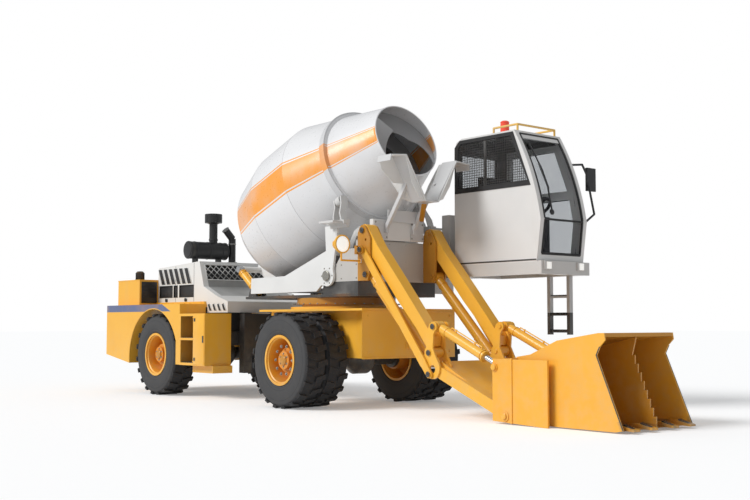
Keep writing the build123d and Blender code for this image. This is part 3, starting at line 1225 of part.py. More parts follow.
PIECES = {
    "front_frame": front_frame.part,
    "front_axle": front_axle,
    "front_tyres_left": front_tyres_left,
    "front_tyres_right": front_tyres_right,
    "front_rims_left": front_rims_left,
    "front_rims_right": front_rims_right,
    "rear_tyre_left": rear_tyre_left,
    "rear_tyre_right": rear_tyre_right,
    "rear_rim_left": rear_rim_left,
    "rear_rim_right": rear_rim_right,
    "rear_frame": rear_frame.part,
    "rear_axle": rear_axle,
    "rear_body": rear_body.part,
    "side_tanks": side_tanks.part,
    "engine_hood": engine_hood.part,
    "engine_block": engine_block,
    "rear_box": rear_box.part,
    "intake_and_exhaust": intake_and_exhaust.part,
    "platform": platform.part,
    "tower": tower.part,
    "arm_towers": arm_towers.part,
    "loader_arms": loader_arms.part,
    "link_bars": link_bars.part,
    "front_arms": front_arms.part,
    "bucket": bucket.part,
    "lift_cylinder_barrels": lift_cylinder_barrels.part,
    "lift_cylinder_rods": lift_cylinder_rods.part,
    "tilt_cylinder_barrels": tilt_cylinder_barrels.part,
    "tilt_cylinder_rods": tilt_cylinder_rods.part,
    "drum_cylinder_barrels": drum_cylinder_barrels.part,
    "drum_cylinder_rods": drum_cylinder_rods.part,
    "drum_shell": drum_shell.part,
    "drum_blades": drum_blades.part,
    "drum_gearbox": drum_gearbox.part,
    "cradle": cradle.part,
    "roller_brackets": roller_brackets.part,
    "feed_hopper": feed_hopper.part,
    "cab_base": cab_base.part,
    "cab_shell": cab_shell.part,
    "cab_glass": cab_glass.part,
    "cab_door": cab_door.part,
    "door_glass": door_glass.part,
    "cab_interior": cab_interior.part,
    "cab_bracket": cab_bracket.part,
    "beacon": beacon.part,
    "cab_ladder": cab_ladder.part,
    "side_mirror": side_mirror.part,
    "work_lamp": work_lamp.part,
}
REACH_FRONT = 4475.0
REACH_LEFT = CAB_LEFT + 385
TO_ORIGIN = Location((-(REACH_FRONT + REAR_FACE) / 2, -(REACH_LEFT - TWIN_OUTER_FACE) / 2, 0))
for name, piece in PIECES.items():
    moved = piece.moved(TO_ORIGIN)
    moved.label = name
    export_step(moved, f"parts/{name}.step")
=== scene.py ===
"""Looks of the self-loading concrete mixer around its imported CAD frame."""
import math

import bmesh
import bpy
from mathutils import Matrix, Vector


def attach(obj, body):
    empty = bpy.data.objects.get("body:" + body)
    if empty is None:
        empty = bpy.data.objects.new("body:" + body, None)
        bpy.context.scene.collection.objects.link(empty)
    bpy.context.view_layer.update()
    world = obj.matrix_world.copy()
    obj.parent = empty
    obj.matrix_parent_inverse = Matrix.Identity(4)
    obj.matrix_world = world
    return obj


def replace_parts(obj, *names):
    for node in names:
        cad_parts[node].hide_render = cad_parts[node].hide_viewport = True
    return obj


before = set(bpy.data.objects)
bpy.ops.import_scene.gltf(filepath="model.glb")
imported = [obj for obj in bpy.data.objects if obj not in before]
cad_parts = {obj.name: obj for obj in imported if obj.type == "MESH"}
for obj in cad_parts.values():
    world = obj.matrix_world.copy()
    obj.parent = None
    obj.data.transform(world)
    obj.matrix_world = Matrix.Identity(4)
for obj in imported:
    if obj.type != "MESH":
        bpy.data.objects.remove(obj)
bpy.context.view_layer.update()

# Lengths below are millimetres in the front-axle frame, as in the part's source
SHIFT = Vector((82.5, -340.0, 0.0))
WHEEL_Z = 562.5
WHEELBASE = 3166.0
TILT = math.radians(20.6)
HOOD_SIDE = 680.0
BOX_TOP = 1630.0
FILLER = (-4100.0, -850.0)
CLEANER = (-3200.0, 2050.0)
PRECLEANER_Y = -147.0
LAMP = (800.0, -893.0, 1895.0)
BEACON = (1460.0, 1100.0)
ARM_PIN, ELBOW, BUCKET_PIVOT = (815, 2067), (1933, 680), (3040, 80)
LIFT_BASE, LIFT_EYE = (870, 1554), (1872, 548)
TILT_BASE, TILT_EYE = (1997, 960), (2903, 558)
DRUM_BASE, DRUM_EYE = (-1506, 1401), (-1933, 1723)
HEAD_LAMPS = (812.0, 1380.0)
LADDER_TREADS = (900.0, 1100.0, 1310.0)
CAB_RIGHT, CAB_LEFT, CAB_REAR, CAB_ROOF = 700.0, 1510.0, 990.0, 3235.0
MOUTH = Vector((893.0, 0.0, 3172.0))
BACK = Vector((-math.cos(TILT), 0.0, -math.sin(TILT)))
UP = Vector((-math.sin(TILT), 0.0, math.cos(TILT)))


def place(x, y, z):
    """Front-axle millimetres to metres in the row frame."""
    return (Vector((x, y, z)) + SHIFT) / 1000


def srgb(red, green, blue):
    """8-bit display colour as a linear RGBA."""
    values = []
    for part in (red, green, blue):
        part /= 255
        values.append(part / 12.92 if part <= 0.04045 else ((part + 0.055) / 1.055) ** 2.4)
    return (*values, 1.0)


# Materials
class Look:
    """A node material and the few node patterns that it is made of."""

    def __init__(self, name):
        self.material = bpy.data.materials.new(name)
        self.material.use_nodes = True
        self.nodes = self.material.node_tree.nodes
        self.links = self.material.node_tree.links
        self.shader = self.nodes["Principled BSDF"]
        self.coords = self.nodes.new("ShaderNodeTexCoord").outputs["Object"]
        self.axes = None

    def feed(self, socket, value):
        if isinstance(value, bpy.types.NodeSocket):
            self.links.new(value, socket)
        else:
            socket.default_value = value

    def math(self, operation, first, second=0.0):
        node = self.nodes.new("ShaderNodeMath")
        node.operation = operation
        self.feed(node.inputs[0], first)
        self.feed(node.inputs[1], second)
        return node.outputs[0]

    def times(self, first, second):
        return self.math("MULTIPLY", first, second)

    def plus(self, first, second):
        return self.math("ADD", first, second)

    def minus(self, first, second):
        return self.math("SUBTRACT", first, second)

    def above(self, value, low):
        return self.math("GREATER_THAN", value, low)

    def below(self, value, high):
        return self.math("LESS_THAN", value, high)

    def size(self, value):
        return self.math("ABSOLUTE", value)

    def length(self, first, second):
        """Length of a vector with two components."""
        return self.math("SQRT", self.plus(self.times(first, first), self.times(second, second)))

    def axis(self, index):
        """Front-axle coordinate in millimetres: 0 for x, 1 for y, 2 for z."""
        if self.axes is None:
            split = self.nodes.new("ShaderNodeSeparateXYZ")
            self.links.new(self.coords, split.inputs[0])
            self.axes = []
            for which in range(3):
                scaled = self.times(split.outputs[which], 1000.0)
                self.axes.append(self.minus(scaled, SHIFT[which]))
        return self.axes[index]

    def between(self, value, low, high):
        return self.times(self.above(value, low), self.below(value, high))

    def inside(self, half):
        """Mask of what is nearer to the middle plane than half."""
        return self.below(self.size(self.axis(1)), half)

    def both(self, *masks):
        result = masks[0]
        for mask in masks[1:]:
            result = self.times(result, mask)
        return result

    def either(self, *masks):
        result = masks[0]
        for mask in masks[1:]:
            result = self.math("MAXIMUM", result, mask)
        return result

    def fade(self, value, low, high):
        """0 at low to 1 at high, smoothly."""
        node = self.nodes.new("ShaderNodeMapRange")
        node.interpolation_type = "SMOOTHSTEP"
        self.feed(node.inputs["Value"], value)
        node.inputs["From Min"].default_value = low
        node.inputs["From Max"].default_value = high
        return node.outputs["Result"]

    def noise(self, scale, detail=3.0, roughness=0.5, stretch=(1, 1, 1)):
        mapping = self.nodes.new("ShaderNodeMapping")
        mapping.inputs["Scale"].default_value = stretch
        self.links.new(self.coords, mapping.inputs["Vector"])
        node = self.nodes.new("ShaderNodeTexNoise")
        node.inputs["Scale"].default_value = scale
        node.inputs["Detail"].default_value = detail
        node.inputs["Roughness"].default_value = roughness
        self.links.new(mapping.outputs[0], node.inputs["Vector"])
        return node.outputs["Fac"]

    def mix(self, factor, first, second):
        node = self.nodes.new("ShaderNodeMix")
        node.data_type = "RGBA"
        self.feed(node.inputs["Factor"], factor)
        self.feed(node.inputs[6], first)
        self.feed(node.inputs[7], second)
        return node.outputs[2]

    def edges(self, radius, samples=3):
        """Mask that is 1 along the edges of the mesh."""
        bevel = self.nodes.new("ShaderNodeBevel")
        bevel.samples = samples
        bevel.inputs["Radius"].default_value = radius
        geometry = self.nodes.new("ShaderNodeNewGeometry")
        dot = self.nodes.new("ShaderNodeVectorMath")
        dot.operation = "DOT_PRODUCT"
        self.links.new(bevel.outputs[0], dot.inputs[0])
        self.links.new(geometry.outputs["Normal"], dot.inputs[1])
        sharp = self.minus(1.0, dot.outputs["Value"])
        return self.fade(sharp, 0.02, 0.16)

    def bump(self, height, strength, distance):
        node = self.nodes.new("ShaderNodeBump")
        node.inputs["Strength"].default_value = strength
        node.inputs["Distance"].default_value = distance
        self.links.new(height, node.inputs["Height"])
        self.links.new(node.outputs[0], self.shader.inputs["Normal"])

    def finish(self, colour, roughness, metallic=0.0):
        self.feed(self.shader.inputs["Base Color"], colour)
        self.feed(self.shader.inputs["Roughness"], roughness)
        self.shader.inputs["Metallic"].default_value = metallic
        return self.material


DUST = srgb(196, 184, 160)


def weathered(look, colour, dark, dust=0.20, edge_wear_and_highlight=None, wear_and_highlight_share=0.5):
    """Base colour with mottling, soft streaks, dust near the ground, and paler edges that are partly worn
    paint and partly painted highlight.
    """
    tone = look.noise(2.1, 4.0)
    colour = look.mix(look.times(look.fade(tone, 0.40, 0.70), 0.30), colour, dark)
    streak = look.noise(5.0, 3.0, 0.55, (1.0, 1.0, 0.12))
    colour = look.mix(look.times(look.fade(streak, 0.56, 0.72), 0.06), colour, DUST)
    low = look.minus(1.0, look.fade(look.axis(2), 150.0, 1250.0))
    grains = look.fade(look.noise(9.0, 5.0, 0.6), 0.35, 0.75)
    dusty = look.times(look.times(low, grains), dust)
    colour = look.mix(dusty, colour, DUST)
    if edge_wear_and_highlight is not None:
        # Paler edges: partly worn paint, partly a painted highlight along the mesh edges.
        patches = look.fade(look.noise(14.0, 4.0), 0.42, 0.62)
        worn_and_highlight = look.times(look.times(look.edges(0.004), patches), wear_and_highlight_share)
        colour = look.mix(worn_and_highlight, colour, edge_wear_and_highlight)
    return colour


def paint(name, base, dark, rough=0.36, dust=0.16, edge_wear_and_highlight=None, extra=None):
    """Sprayed enamel; extra(look, colour) may paint marks over the base colour."""
    look = Look(name)
    colour = base if extra is None else extra(look, base)
    colour = weathered(look, colour, dark, dust, edge_wear_and_highlight)
    grain = look.noise(30.0, 2.0)
    roughness = look.plus(look.times(grain, 0.18), rough - 0.09)
    look.bump(look.noise(240.0, 2.0), 0.05, 0.001)
    look.shader.inputs["Coat Weight"].default_value = 0.18
    look.shader.inputs["Coat Roughness"].default_value = 0.12
    return look.finish(colour, roughness)


GOLD = srgb(241, 180, 58)
GOLD_DARK = srgb(230, 164, 46)
# Paler edge tones: partly worn paint, partly painted highlight.
GOLD_WEAR_HIGHLIGHT = srgb(250, 220, 150)
OCHRE = srgb(190, 130, 32)
OCHRE_DARK = srgb(172, 112, 24)
ORANGE = srgb(244, 160, 62)
WHITE = srgb(226, 226, 224)
WHITE_DARK = srgb(208, 208, 207)
WHITE_WEAR_HIGHLIGHT = srgb(246, 246, 244)
LIGHT_GREY = srgb(206, 205, 203)
GREY = srgb(150, 151, 152)
DARK_GREY = srgb(62, 61, 60)
BLACK = srgb(30, 30, 31)
SLATE = srgb(92, 103, 138)


def rear_marks(look, colour):
    """Slate stripe with a slanted end along the sides, and the rear lamps' lenses."""
    x, y, z = look.axis(0), look.axis(1), look.axis(2)
    outside = look.above(look.size(y), 1095.0)
    slanted = look.plus(x, look.times(look.minus(z, 1158.0), 2.4))
    stripe = look.both(outside, look.between(z, 1158.0, 1259.0), look.below(slanted, -2730.0))
    colour = look.mix(stripe, colour, SLATE)
    rear = look.below(x, -4635.0)
    spread = look.size(y)
    lens = look.both(rear, look.between(z, 1010.0, 1100.0), look.between(spread, 820.0, 1020.0))
    rim = look.both(rear, look.between(z, 1000.0, 1110.0), look.between(spread, 810.0, 1030.0))
    colour = look.mix(rim, colour, BLACK)
    return look.mix(lens, colour, srgb(176, 34, 22))


def tower_marks(look, colour):
    """Dark lower band and a fine seam below the deck."""
    z = look.axis(2)
    colour = look.mix(look.below(z, 1486.0), colour, DARK_GREY)
    return look.mix(look.between(z, 1955.0, 1960.0), colour, GREY)


def platform_marks(look, colour):
    """Dark edge of the slewing plate over the ochre ring."""
    return look.mix(look.above(look.axis(2), 1305.0), colour, DARK_GREY)


def box_marks(look, colour):
    """Black filler cap on the rear box."""
    reach = look.length(look.minus(look.axis(0), FILLER[0]), look.minus(look.axis(1), FILLER[1]))
    cap = look.both(look.below(reach, 62.0), look.above(look.axis(2), BOX_TOP + 1.0))
    return look.mix(cap, colour, BLACK)


def tank_marks(look, colour):
    """Shaded step recesses."""
    inside = look.both(
        look.between(look.axis(0), -2452.0, -2125.0),
        look.inside(1100.0),
        look.between(look.axis(2), 469.0, 1091.0),
    )
    return look.mix(look.times(inside, 0.55), colour, DARK_GREY)


def hood_marks(look, colour):
    """Service panel on the slanted front painted grey as painted shade, and the inside of the hood painted
    black as painted shade.
    """
    x, z = look.axis(0), look.axis(2)
    inside = look.inside(662.0)
    # Painted shade: the inside of the hood is painted black.
    dark = look.both(inside, look.between(z, 1140.0, 1745.0), look.below(x, -2700.0))
    colour = look.mix(dark, colour, BLACK)
    # Painted shade: the white panel on the slanted front is painted grey.
    panel = look.both(
        look.between(x, -2655.0, -2235.0),
        look.between(z, 1362.0, 1700.0),
        look.inside(598.0),
    )
    return look.mix(panel, colour, srgb(150, 150, 148))


def bucket_marks(look, colour):
    """Scraped steel on the floor and along the cutting edge; the inside is darkened as painted shade."""
    x, z = look.axis(0), look.axis(2)
    floor = look.both(
        look.between(z, 12.5, 62.0),
        look.between(x, 3000.0, 4500.0),
        look.inside(522.0),
    )
    rub = look.fade(look.noise(4.5, 4.0, 0.6, (0.5, 1.6, 1.0)), 0.44, 0.6)
    colour = look.mix(look.times(look.both(floor, rub), 0.7), colour, srgb(120, 104, 78))
    # Painted shade: the inside of the bucket is mixed towards a darker brown.
    inside = look.both(
        look.inside(521.0),
        look.between(x, 2990.0, 4450.0),
        look.above(z, 14.0),
    )
    colour = look.mix(look.times(inside, 0.55), colour, srgb(168, 104, 22))
    edge = look.fade(look.plus(x, look.times(z, 0.4)), 4360.0, 4400.0)
    lip = look.both(edge, look.below(z, 110.0))
    chips = look.fade(look.noise(11.0, 4.0), 0.30, 0.55)
    return look.mix(look.times(look.both(lip, chips), 0.55), colour, srgb(140, 118, 82))


def cab_marks(look, colour):
    """Inside of the cab, its lining and ceiling, painted near black as painted shade, the window divider with
    it; pale ochre roof rail.
    """
    x, y, z = look.axis(0), look.axis(1), look.axis(2)
    upper = look.plus(x, look.times(z, 0.486))
    lower = look.plus(x, look.times(z, 0.255))
    # Painted shade: everything inside the cab is painted near black, and so is the window divider.
    painted_cab_shade = look.both(
        look.between(y, CAB_RIGHT + 6.0, CAB_LEFT + 20.0),
        look.between(x, CAB_REAR + 6.0, 2235.0),
        look.below(z, CAB_ROOF - 10.0),
        look.below(upper, 3470.0),
        look.below(lower, 2845.0),
    )
    divider = look.both(
        look.between(x, 1470.0, 1540.0),
        look.between(z, 2600.0, 3190.0),
        look.below(y, CAB_RIGHT + 60.0),
    )
    colour = look.mix(look.either(painted_cab_shade, divider), colour, srgb(46, 44, 42))
    rail = look.above(z, CAB_ROOF + 2.0)
    return look.mix(rail, colour, srgb(236, 190, 96))


def lamp_marks(look, colour):
    """White front of the lamp."""
    return look.mix(look.above(look.axis(0), 797.0), colour, srgb(250, 248, 240))


def ladder_marks(look, colour):
    """Black lower halves of the ladder's rails."""
    return look.mix(look.below(look.axis(2), 1120.0), colour, BLACK)


def drum_mark_masks(look):
    """Distance back from the mouth, angle above the side, and distance from the axis."""
    x, z = look.axis(0), look.axis(2)
    dx = look.minus(x, MOUTH.x)
    dz = look.minus(z, MOUTH.z)
    back = look.plus(look.times(dx, BACK.x), look.times(dz, BACK.z))
    up = look.plus(look.times(dx, UP.x), look.times(dz, UP.z))
    aside = look.size(look.axis(1))
    angle = look.times(look.math("ARCTAN2", up, aside), 180 / math.pi)
    return back, angle, look.length(up, aside)


def drum_marks(look, colour):
    """Orange band along each side with a thin outline, grey ring and weld seams."""
    back, angle, reach = drum_mark_masks(look)
    ring = look.both(look.between(back, 664.0, 756.0), look.above(reach, 726.0))
    shell = look.below(back, 2600.0)
    inner = look.above(back, 6.0)
    colour = look.mix(ring, colour, srgb(205, 205, 206))
    for seam in (1316.0, 2040.0, 2570.0):
        colour = look.mix(look.between(back, seam - 3.0, seam + 3.0), colour, srgb(170, 170, 170))
    fill = look.between(angle, -6.6, 15.4)
    lines = look.either(look.between(angle, -9.0, -7.7), look.between(angle, 16.5, 17.8))
    whole = look.both(ring, look.between(angle, -9.0, 17.8))
    band = look.both(look.either(fill, lines, whole), shell, inner)
    return look.mix(band, colour, ORANGE)


def wheel_reach(look, centre_x):
    """Distance from a wheel's axis."""
    return look.length(look.minus(look.axis(0), centre_x), look.minus(look.axis(2), WHEEL_Z))


def tyre_look(name, centre_x):
    """Rubber with a dusty grey sidewall, a darker tread and moulded rings."""
    look = Look(name)
    reach = wheel_reach(look, centre_x)
    wall, tread = srgb(66, 66, 67), srgb(38, 38, 40)
    colour = look.mix(look.fade(reach, 500.0, 545.0), wall, tread)
    for ring in (322.0, 352.0, 470.0):
        colour = look.mix(look.between(reach, ring - 2.0, ring + 2.0), colour, srgb(48, 48, 50))
    dust = look.fade(look.noise(7.0, 5.0, 0.62), 0.45, 0.75)
    colour = look.mix(look.times(dust, 0.09), colour, srgb(128, 122, 112))
    edge = look.times(look.edges(0.006), 0.35)
    colour = look.mix(edge, colour, srgb(112, 110, 106))
    rings = look.math("SINE", look.times(reach, 0.42))
    fine = look.plus(look.times(rings, 0.35), look.noise(160.0, 3.0))
    look.bump(fine, 0.25, 0.0015)
    look.shader.inputs["Specular IOR Level"].default_value = 0.35
    return look.finish(colour, look.plus(look.times(dust, 0.1), 0.68))


def rim_look(name, centre_x):
    """Gold wheel with a paler lip and a darker dish."""
    look = Look(name)
    reach = wheel_reach(look, centre_x)
    colour = look.mix(look.fade(reach, 236.0, 262.0), srgb(222, 140, 26), srgb(246, 182, 62))
    colour = weathered(look, colour, srgb(184, 112, 20), 0.25, GOLD_WEAR_HIGHLIGHT, 0.4)
    look.bump(look.noise(200.0, 2.0), 0.06, 0.001)
    return look.finish(colour, look.plus(look.times(look.noise(24.0), 0.2), 0.3))


def metal(name, colour, dark, rough=0.32, scratches=(60, 60, 4)):
    """Bare or chromed steel with fine drawn scratches."""
    look = Look(name)
    lines = look.noise(18.0, 4.0, 0.6, scratches)
    shade = look.mix(look.fade(lines, 0.4, 0.7), colour, dark)
    look.bump(lines, 0.08, 0.0005)
    return look.finish(shade, look.plus(look.times(lines, 0.2), rough - 0.1), 0.9)


def plastic(name, colour, light, rough=0.5, grain=260.0):
    """Moulded plastic or rubber with a fine grain and a little dust."""
    look = Look(name)
    dust = look.fade(look.noise(8.0, 4.0), 0.48, 0.78)
    shade = look.mix(look.times(dust, 0.22), colour, light)
    look.bump(look.noise(grain, 2.0), 0.18, 0.0006)
    return look.finish(shade, look.plus(look.times(dust, 0.14), rough - 0.05))


def glass(name, tint, rough=0.03):
    """Tinted safety glass with a faint film of dust."""
    look = Look(name)
    film = look.fade(look.noise(3.0, 4.0), 0.4, 0.8)
    shade = look.mix(look.times(film, 0.25), tint, srgb(226, 228, 226))
    look.shader.inputs["Transmission Weight"].default_value = 1.0
    look.shader.inputs["IOR"].default_value = 1.12
    look.shader.inputs["Specular IOR Level"].default_value = 0.6
    return look.finish(shade, look.plus(look.times(film, 0.06), rough))


def lens(name, colour, glow, rough=0.12):
    """Clear ribbed lens or reflector; its glow and the white on its ribs are painted light, a glow and
    glints.
    """
    look = Look(name)
    ribs = look.noise(60.0, 1.0, 0.5, (0.2, 1.0, 6.0))
    # Painted glint: a little white mixed in along the ribs.
    shade = look.mix(look.times(ribs, 0.08), colour, srgb(255, 255, 255))
    look.bump(ribs, 0.3, 0.001)
    # Painted light: the emission brightens the lens and lights nothing.
    look.shader.inputs["Emission Color"].default_value = colour
    look.shader.inputs["Emission Strength"].default_value = glow
    look.shader.inputs["Coat Weight"].default_value = 0.6
    return look.finish(shade, look.plus(look.times(ribs, 0.1), rough))


gold = paint("gold_enamel", GOLD, GOLD_DARK, edge_wear_and_highlight=GOLD_WEAR_HIGHLIGHT)
white = paint("white_enamel", WHITE, WHITE_DARK, dust=0.12, edge_wear_and_highlight=WHITE_WEAR_HIGHLIGHT)
light_grey = paint("light_grey_enamel", LIGHT_GREY, srgb(194, 193, 191), edge_wear_and_highlight=srgb(226, 226, 224))
dark_paint = paint("dark_enamel", DARK_GREY, srgb(48, 47, 46), 0.45, edge_wear_and_highlight=srgb(112, 110, 106))
black_paint = paint("black_enamel", BLACK, srgb(22, 22, 23), 0.42, edge_wear_and_highlight=srgb(84, 83, 80))
ochre = paint("ochre_enamel", OCHRE, OCHRE_DARK, edge_wear_and_highlight=GOLD_WEAR_HIGHLIGHT)
steel = metal("bare_steel", srgb(150, 150, 148), srgb(104, 103, 100))
zinc = metal("zinc_bolts", srgb(176, 174, 166), srgb(120, 118, 112), 0.4, (40, 40, 40))
chrome = metal("chromed_rod", srgb(214, 216, 218), srgb(186, 188, 192), 0.18)
rubber = plastic("seal_rubber", srgb(34, 34, 35), srgb(96, 94, 90), 0.7)
black_plastic = plastic("black_plastic", srgb(38, 38, 40), srgb(92, 92, 92))
window_glass = glass("cab_glass", srgb(206, 208, 210))
amber = lens("beacon_lens_painted_glow", srgb(236, 62, 22), 0.15)
glowing_clear_lens = lens("lamp_lens_painted_glow", srgb(244, 244, 240), 0.45)
mirror_face = metal("mirror_face", srgb(190, 198, 204), srgb(176, 184, 192), 0.12, (1, 1, 1))
seat_cloth = plastic("seat_cloth", srgb(52, 52, 56), srgb(84, 84, 88), 0.85, 420.0)

NODE_LOOKS = {
    "front_frame": gold, "front_axle": dark_paint,
    "front_tyres_left": tyre_look("front_tyre_left_rubber", 0.0),
    "front_tyres_right": tyre_look("front_tyre_right_rubber", 0.0),
    "rear_tyre_left": tyre_look("rear_tyre_left_rubber", -WHEELBASE),
    "rear_tyre_right": tyre_look("rear_tyre_right_rubber", -WHEELBASE),
    "front_rims_left": rim_look("front_rim_left_enamel", 0.0),
    "front_rims_right": rim_look("front_rim_right_enamel", 0.0),
    "rear_rim_left": rim_look("rear_rim_left_enamel", -WHEELBASE),
    "rear_rim_right": rim_look("rear_rim_right_enamel", -WHEELBASE),
    "rear_frame": dark_paint, "rear_axle": dark_paint,
    "rear_body": paint("rear_body_enamel", GOLD, GOLD_DARK, edge_wear_and_highlight=GOLD_WEAR_HIGHLIGHT, extra=rear_marks),
    "side_tanks": paint("side_tank_enamel", GOLD, GOLD_DARK, edge_wear_and_highlight=GOLD_WEAR_HIGHLIGHT, extra=tank_marks),
    "engine_hood": paint("hood_enamel", WHITE, WHITE_DARK, edge_wear_and_highlight=WHITE_WEAR_HIGHLIGHT, extra=hood_marks),
    "engine_block": black_paint,
    "rear_box": paint("rear_box_enamel", GOLD, GOLD_DARK, edge_wear_and_highlight=GOLD_WEAR_HIGHLIGHT, extra=box_marks),
    "intake_and_exhaust": black_paint,
    "platform": paint("platform_enamel", OCHRE, OCHRE_DARK, edge_wear_and_highlight=GOLD_WEAR_HIGHLIGHT, extra=platform_marks),
    "tower": paint("tower_enamel", srgb(190, 187, 182), srgb(176, 173, 168), extra=tower_marks),
    "arm_towers": ochre, "loader_arms": gold, "link_bars": gold, "front_arms": gold,
    "bucket": paint(
        "bucket_enamel", srgb(242, 176, 58), srgb(228, 158, 42), edge_wear_and_highlight=GOLD_WEAR_HIGHLIGHT, extra=bucket_marks
    ),
    "lift_cylinder_barrels": gold, "tilt_cylinder_barrels": gold, "drum_cylinder_barrels": gold,
    "lift_cylinder_rods": chrome, "tilt_cylinder_rods": chrome, "drum_cylinder_rods": chrome,
    "drum_shell": paint("drum_enamel", srgb(228, 228, 229), srgb(214, 214, 216), 0.3, extra=drum_marks),
    "drum_blades": paint(
        "blade_steel", srgb(170, 170, 171), srgb(140, 139, 138), 0.45, edge_wear_and_highlight=srgb(214, 214, 212)
    ),
    "drum_gearbox": black_paint,
    "cradle": white, "roller_brackets": light_grey,
    "feed_hopper": paint("hopper_enamel", srgb(206, 206, 206), srgb(184, 184, 184), edge_wear_and_highlight=srgb(240, 240, 238)),
    "cab_base": light_grey, "cab_door": white,
    "cab_shell": paint("cab_enamel", srgb(222, 221, 219), WHITE_DARK, dust=0.12, extra=cab_marks),
    "cab_glass": window_glass, "door_glass": window_glass,
    "cab_interior": seat_cloth, "cab_bracket": light_grey, "beacon": amber,
    "cab_ladder": paint("ladder_enamel", srgb(196, 196, 196), srgb(170, 170, 170), extra=ladder_marks),
    "side_mirror": black_plastic,
    "work_lamp": paint("lamp_enamel", srgb(244, 176, 52), srgb(226, 150, 36), extra=lamp_marks),
}
for node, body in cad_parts.items():
    for material_slot in body.material_slots:
        material_slot.material = NODE_LOOKS[node]


# Geometry helpers: each piece is one mesh made of plates, turned forms, tubes and fasteners
def around(count, radius, start=0.0):
    """Offsets of points on a circle; start is the first one's share of a step."""
    turns = [2 * math.pi * (index + start) / count for index in range(count)]
    return [(radius * math.cos(turn), radius * math.sin(turn)) for turn in turns]


def add_object(name, data):
    """New object in the scene."""
    made = bpy.data.objects.new(name, data)
    bpy.context.scene.collection.objects.link(made)
    return made


class Piece:
    """A mesh under construction, in front-axle millimetres."""

    def __init__(self, name):
        self.name = name
        self.mesh = bmesh.new()

    def plates(self, rings):
        """Closed skin over rings of equally many points."""
        rows = [[self.mesh.verts.new(place(*point)) for point in ring] for ring in rings]
        count = len(rows[0])
        for row, after in zip(rows, rows[1:]):
            for index in range(count):
                other = (index + 1) % count
                self.mesh.faces.new((row[index], row[other], after[other], after[index]))
        self.mesh.faces.new(list(reversed(rows[0])))
        self.mesh.faces.new(rows[-1])

    def box(self, x0, x1, y0, y1, z0, z1):
        ring = [(x0, y0), (x1, y0), (x1, y1), (x0, y1)]
        self.plates([[(x, y, z) for x, y in ring] for z in (z0, z1)])

    def prism(self, outline, y0, y1):
        """Side-view outline drawn from y0 to y1."""
        self.plates([[(x, y, z) for x, z in outline] for y in (y0, y1)])

    def loop(self, points, radius):
        """Round strip along a closed outline, a straight run at a time."""
        for point, after in zip(points, points[1:] + points[:1]):
            self.tube([point, after], radius, 8)

    def turned(self, centre, axis, profile, count=24):
        """Turned form: profile is (distance along the axis, radius) pairs."""
        axis = Vector(axis).normalized()
        side = axis.orthogonal().normalized()
        other = axis.cross(side)
        centre = Vector(centre)
        rings = []
        for along, radius in profile:
            ring = []
            for index in range(count):
                turn = 2 * math.pi * (index + 0.5) / count
                ring.append(centre + axis * along + (side * math.cos(turn) + other * math.sin(turn)) * radius)
            rings.append(ring)
        self.plates(rings)

    def bolt(self, centre, axis, size):
        """Washer and chamfered hexagon head, standing on centre along axis."""
        self.turned(centre, axis, ((0, size * 0.92), (size * 0.16, size * 0.92)), 12)
        head = ((0.16, 0.56), (0.66, 0.56), (0.74, 0.46))
        self.turned(centre, axis, [(size * along, size * radius) for along, radius in head], 6)

    def tube(self, path, radius, count=10):
        """Round bar or pipe along a path, mitred at its corners."""
        path = [Vector(point) for point in path]
        rings = []
        reference = None
        for index, point in enumerate(path):
            before = (point - path[index - 1]).normalized() if index else None
            after = (path[index + 1] - point).normalized() if index + 1 < len(path) else None
            along = ((before or after) + (after or before)).normalized()
            if reference is None:
                reference = along.orthogonal().normalized()
            side = (reference - along * reference.dot(along)).normalized()
            reference = side
            other = along.cross(side)
            turns = [2 * math.pi * k / count for k in range(count)]
            rings.append([point + (side * math.cos(a) + other * math.sin(a)) * radius for a in turns])
        self.plates(rings)

    def mirrored(self):
        """Adds the same forms on the other side of the middle plane."""
        middle = SHIFT.y / 1000
        whole = self.mesh.verts[:] + self.mesh.edges[:] + self.mesh.faces[:]
        copied = bmesh.ops.duplicate(self.mesh, geom=whole)
        moved = [part for part in copied["geom"] if isinstance(part, bmesh.types.BMVert)]
        for vertex in moved:
            vertex.co.y = 2 * middle - vertex.co.y
        faces = [part for part in copied["geom"] if isinstance(part, bmesh.types.BMFace)]
        bmesh.ops.reverse_faces(self.mesh, faces=faces)

    def done(self, material, body, slot, bevel=1.5, smooth=True):
        bmesh.ops.recalc_face_normals(self.mesh, faces=self.mesh.faces[:])
        data = bpy.data.meshes.new(self.name)
        self.mesh.to_mesh(data)
        self.mesh.free()
        data.materials.append(material)
        piece = add_object(self.name, data)
        if smooth:
            for polygon in data.polygons:
                polygon.use_smooth = True
            edge_split = piece.modifiers.new("crease", "EDGE_SPLIT")
            edge_split.split_angle = math.radians(32)
        if bevel:
            rounding = piece.modifiers.new("rounding", "BEVEL")
            rounding.width = bevel / 1000
            rounding.segments = 2
            rounding.limit_method = "ANGLE"
            rounding.angle_limit = math.radians(40)
            piece.modifiers.move(len(piece.modifiers) - 1, 0)
        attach(piece, body)
        return piece


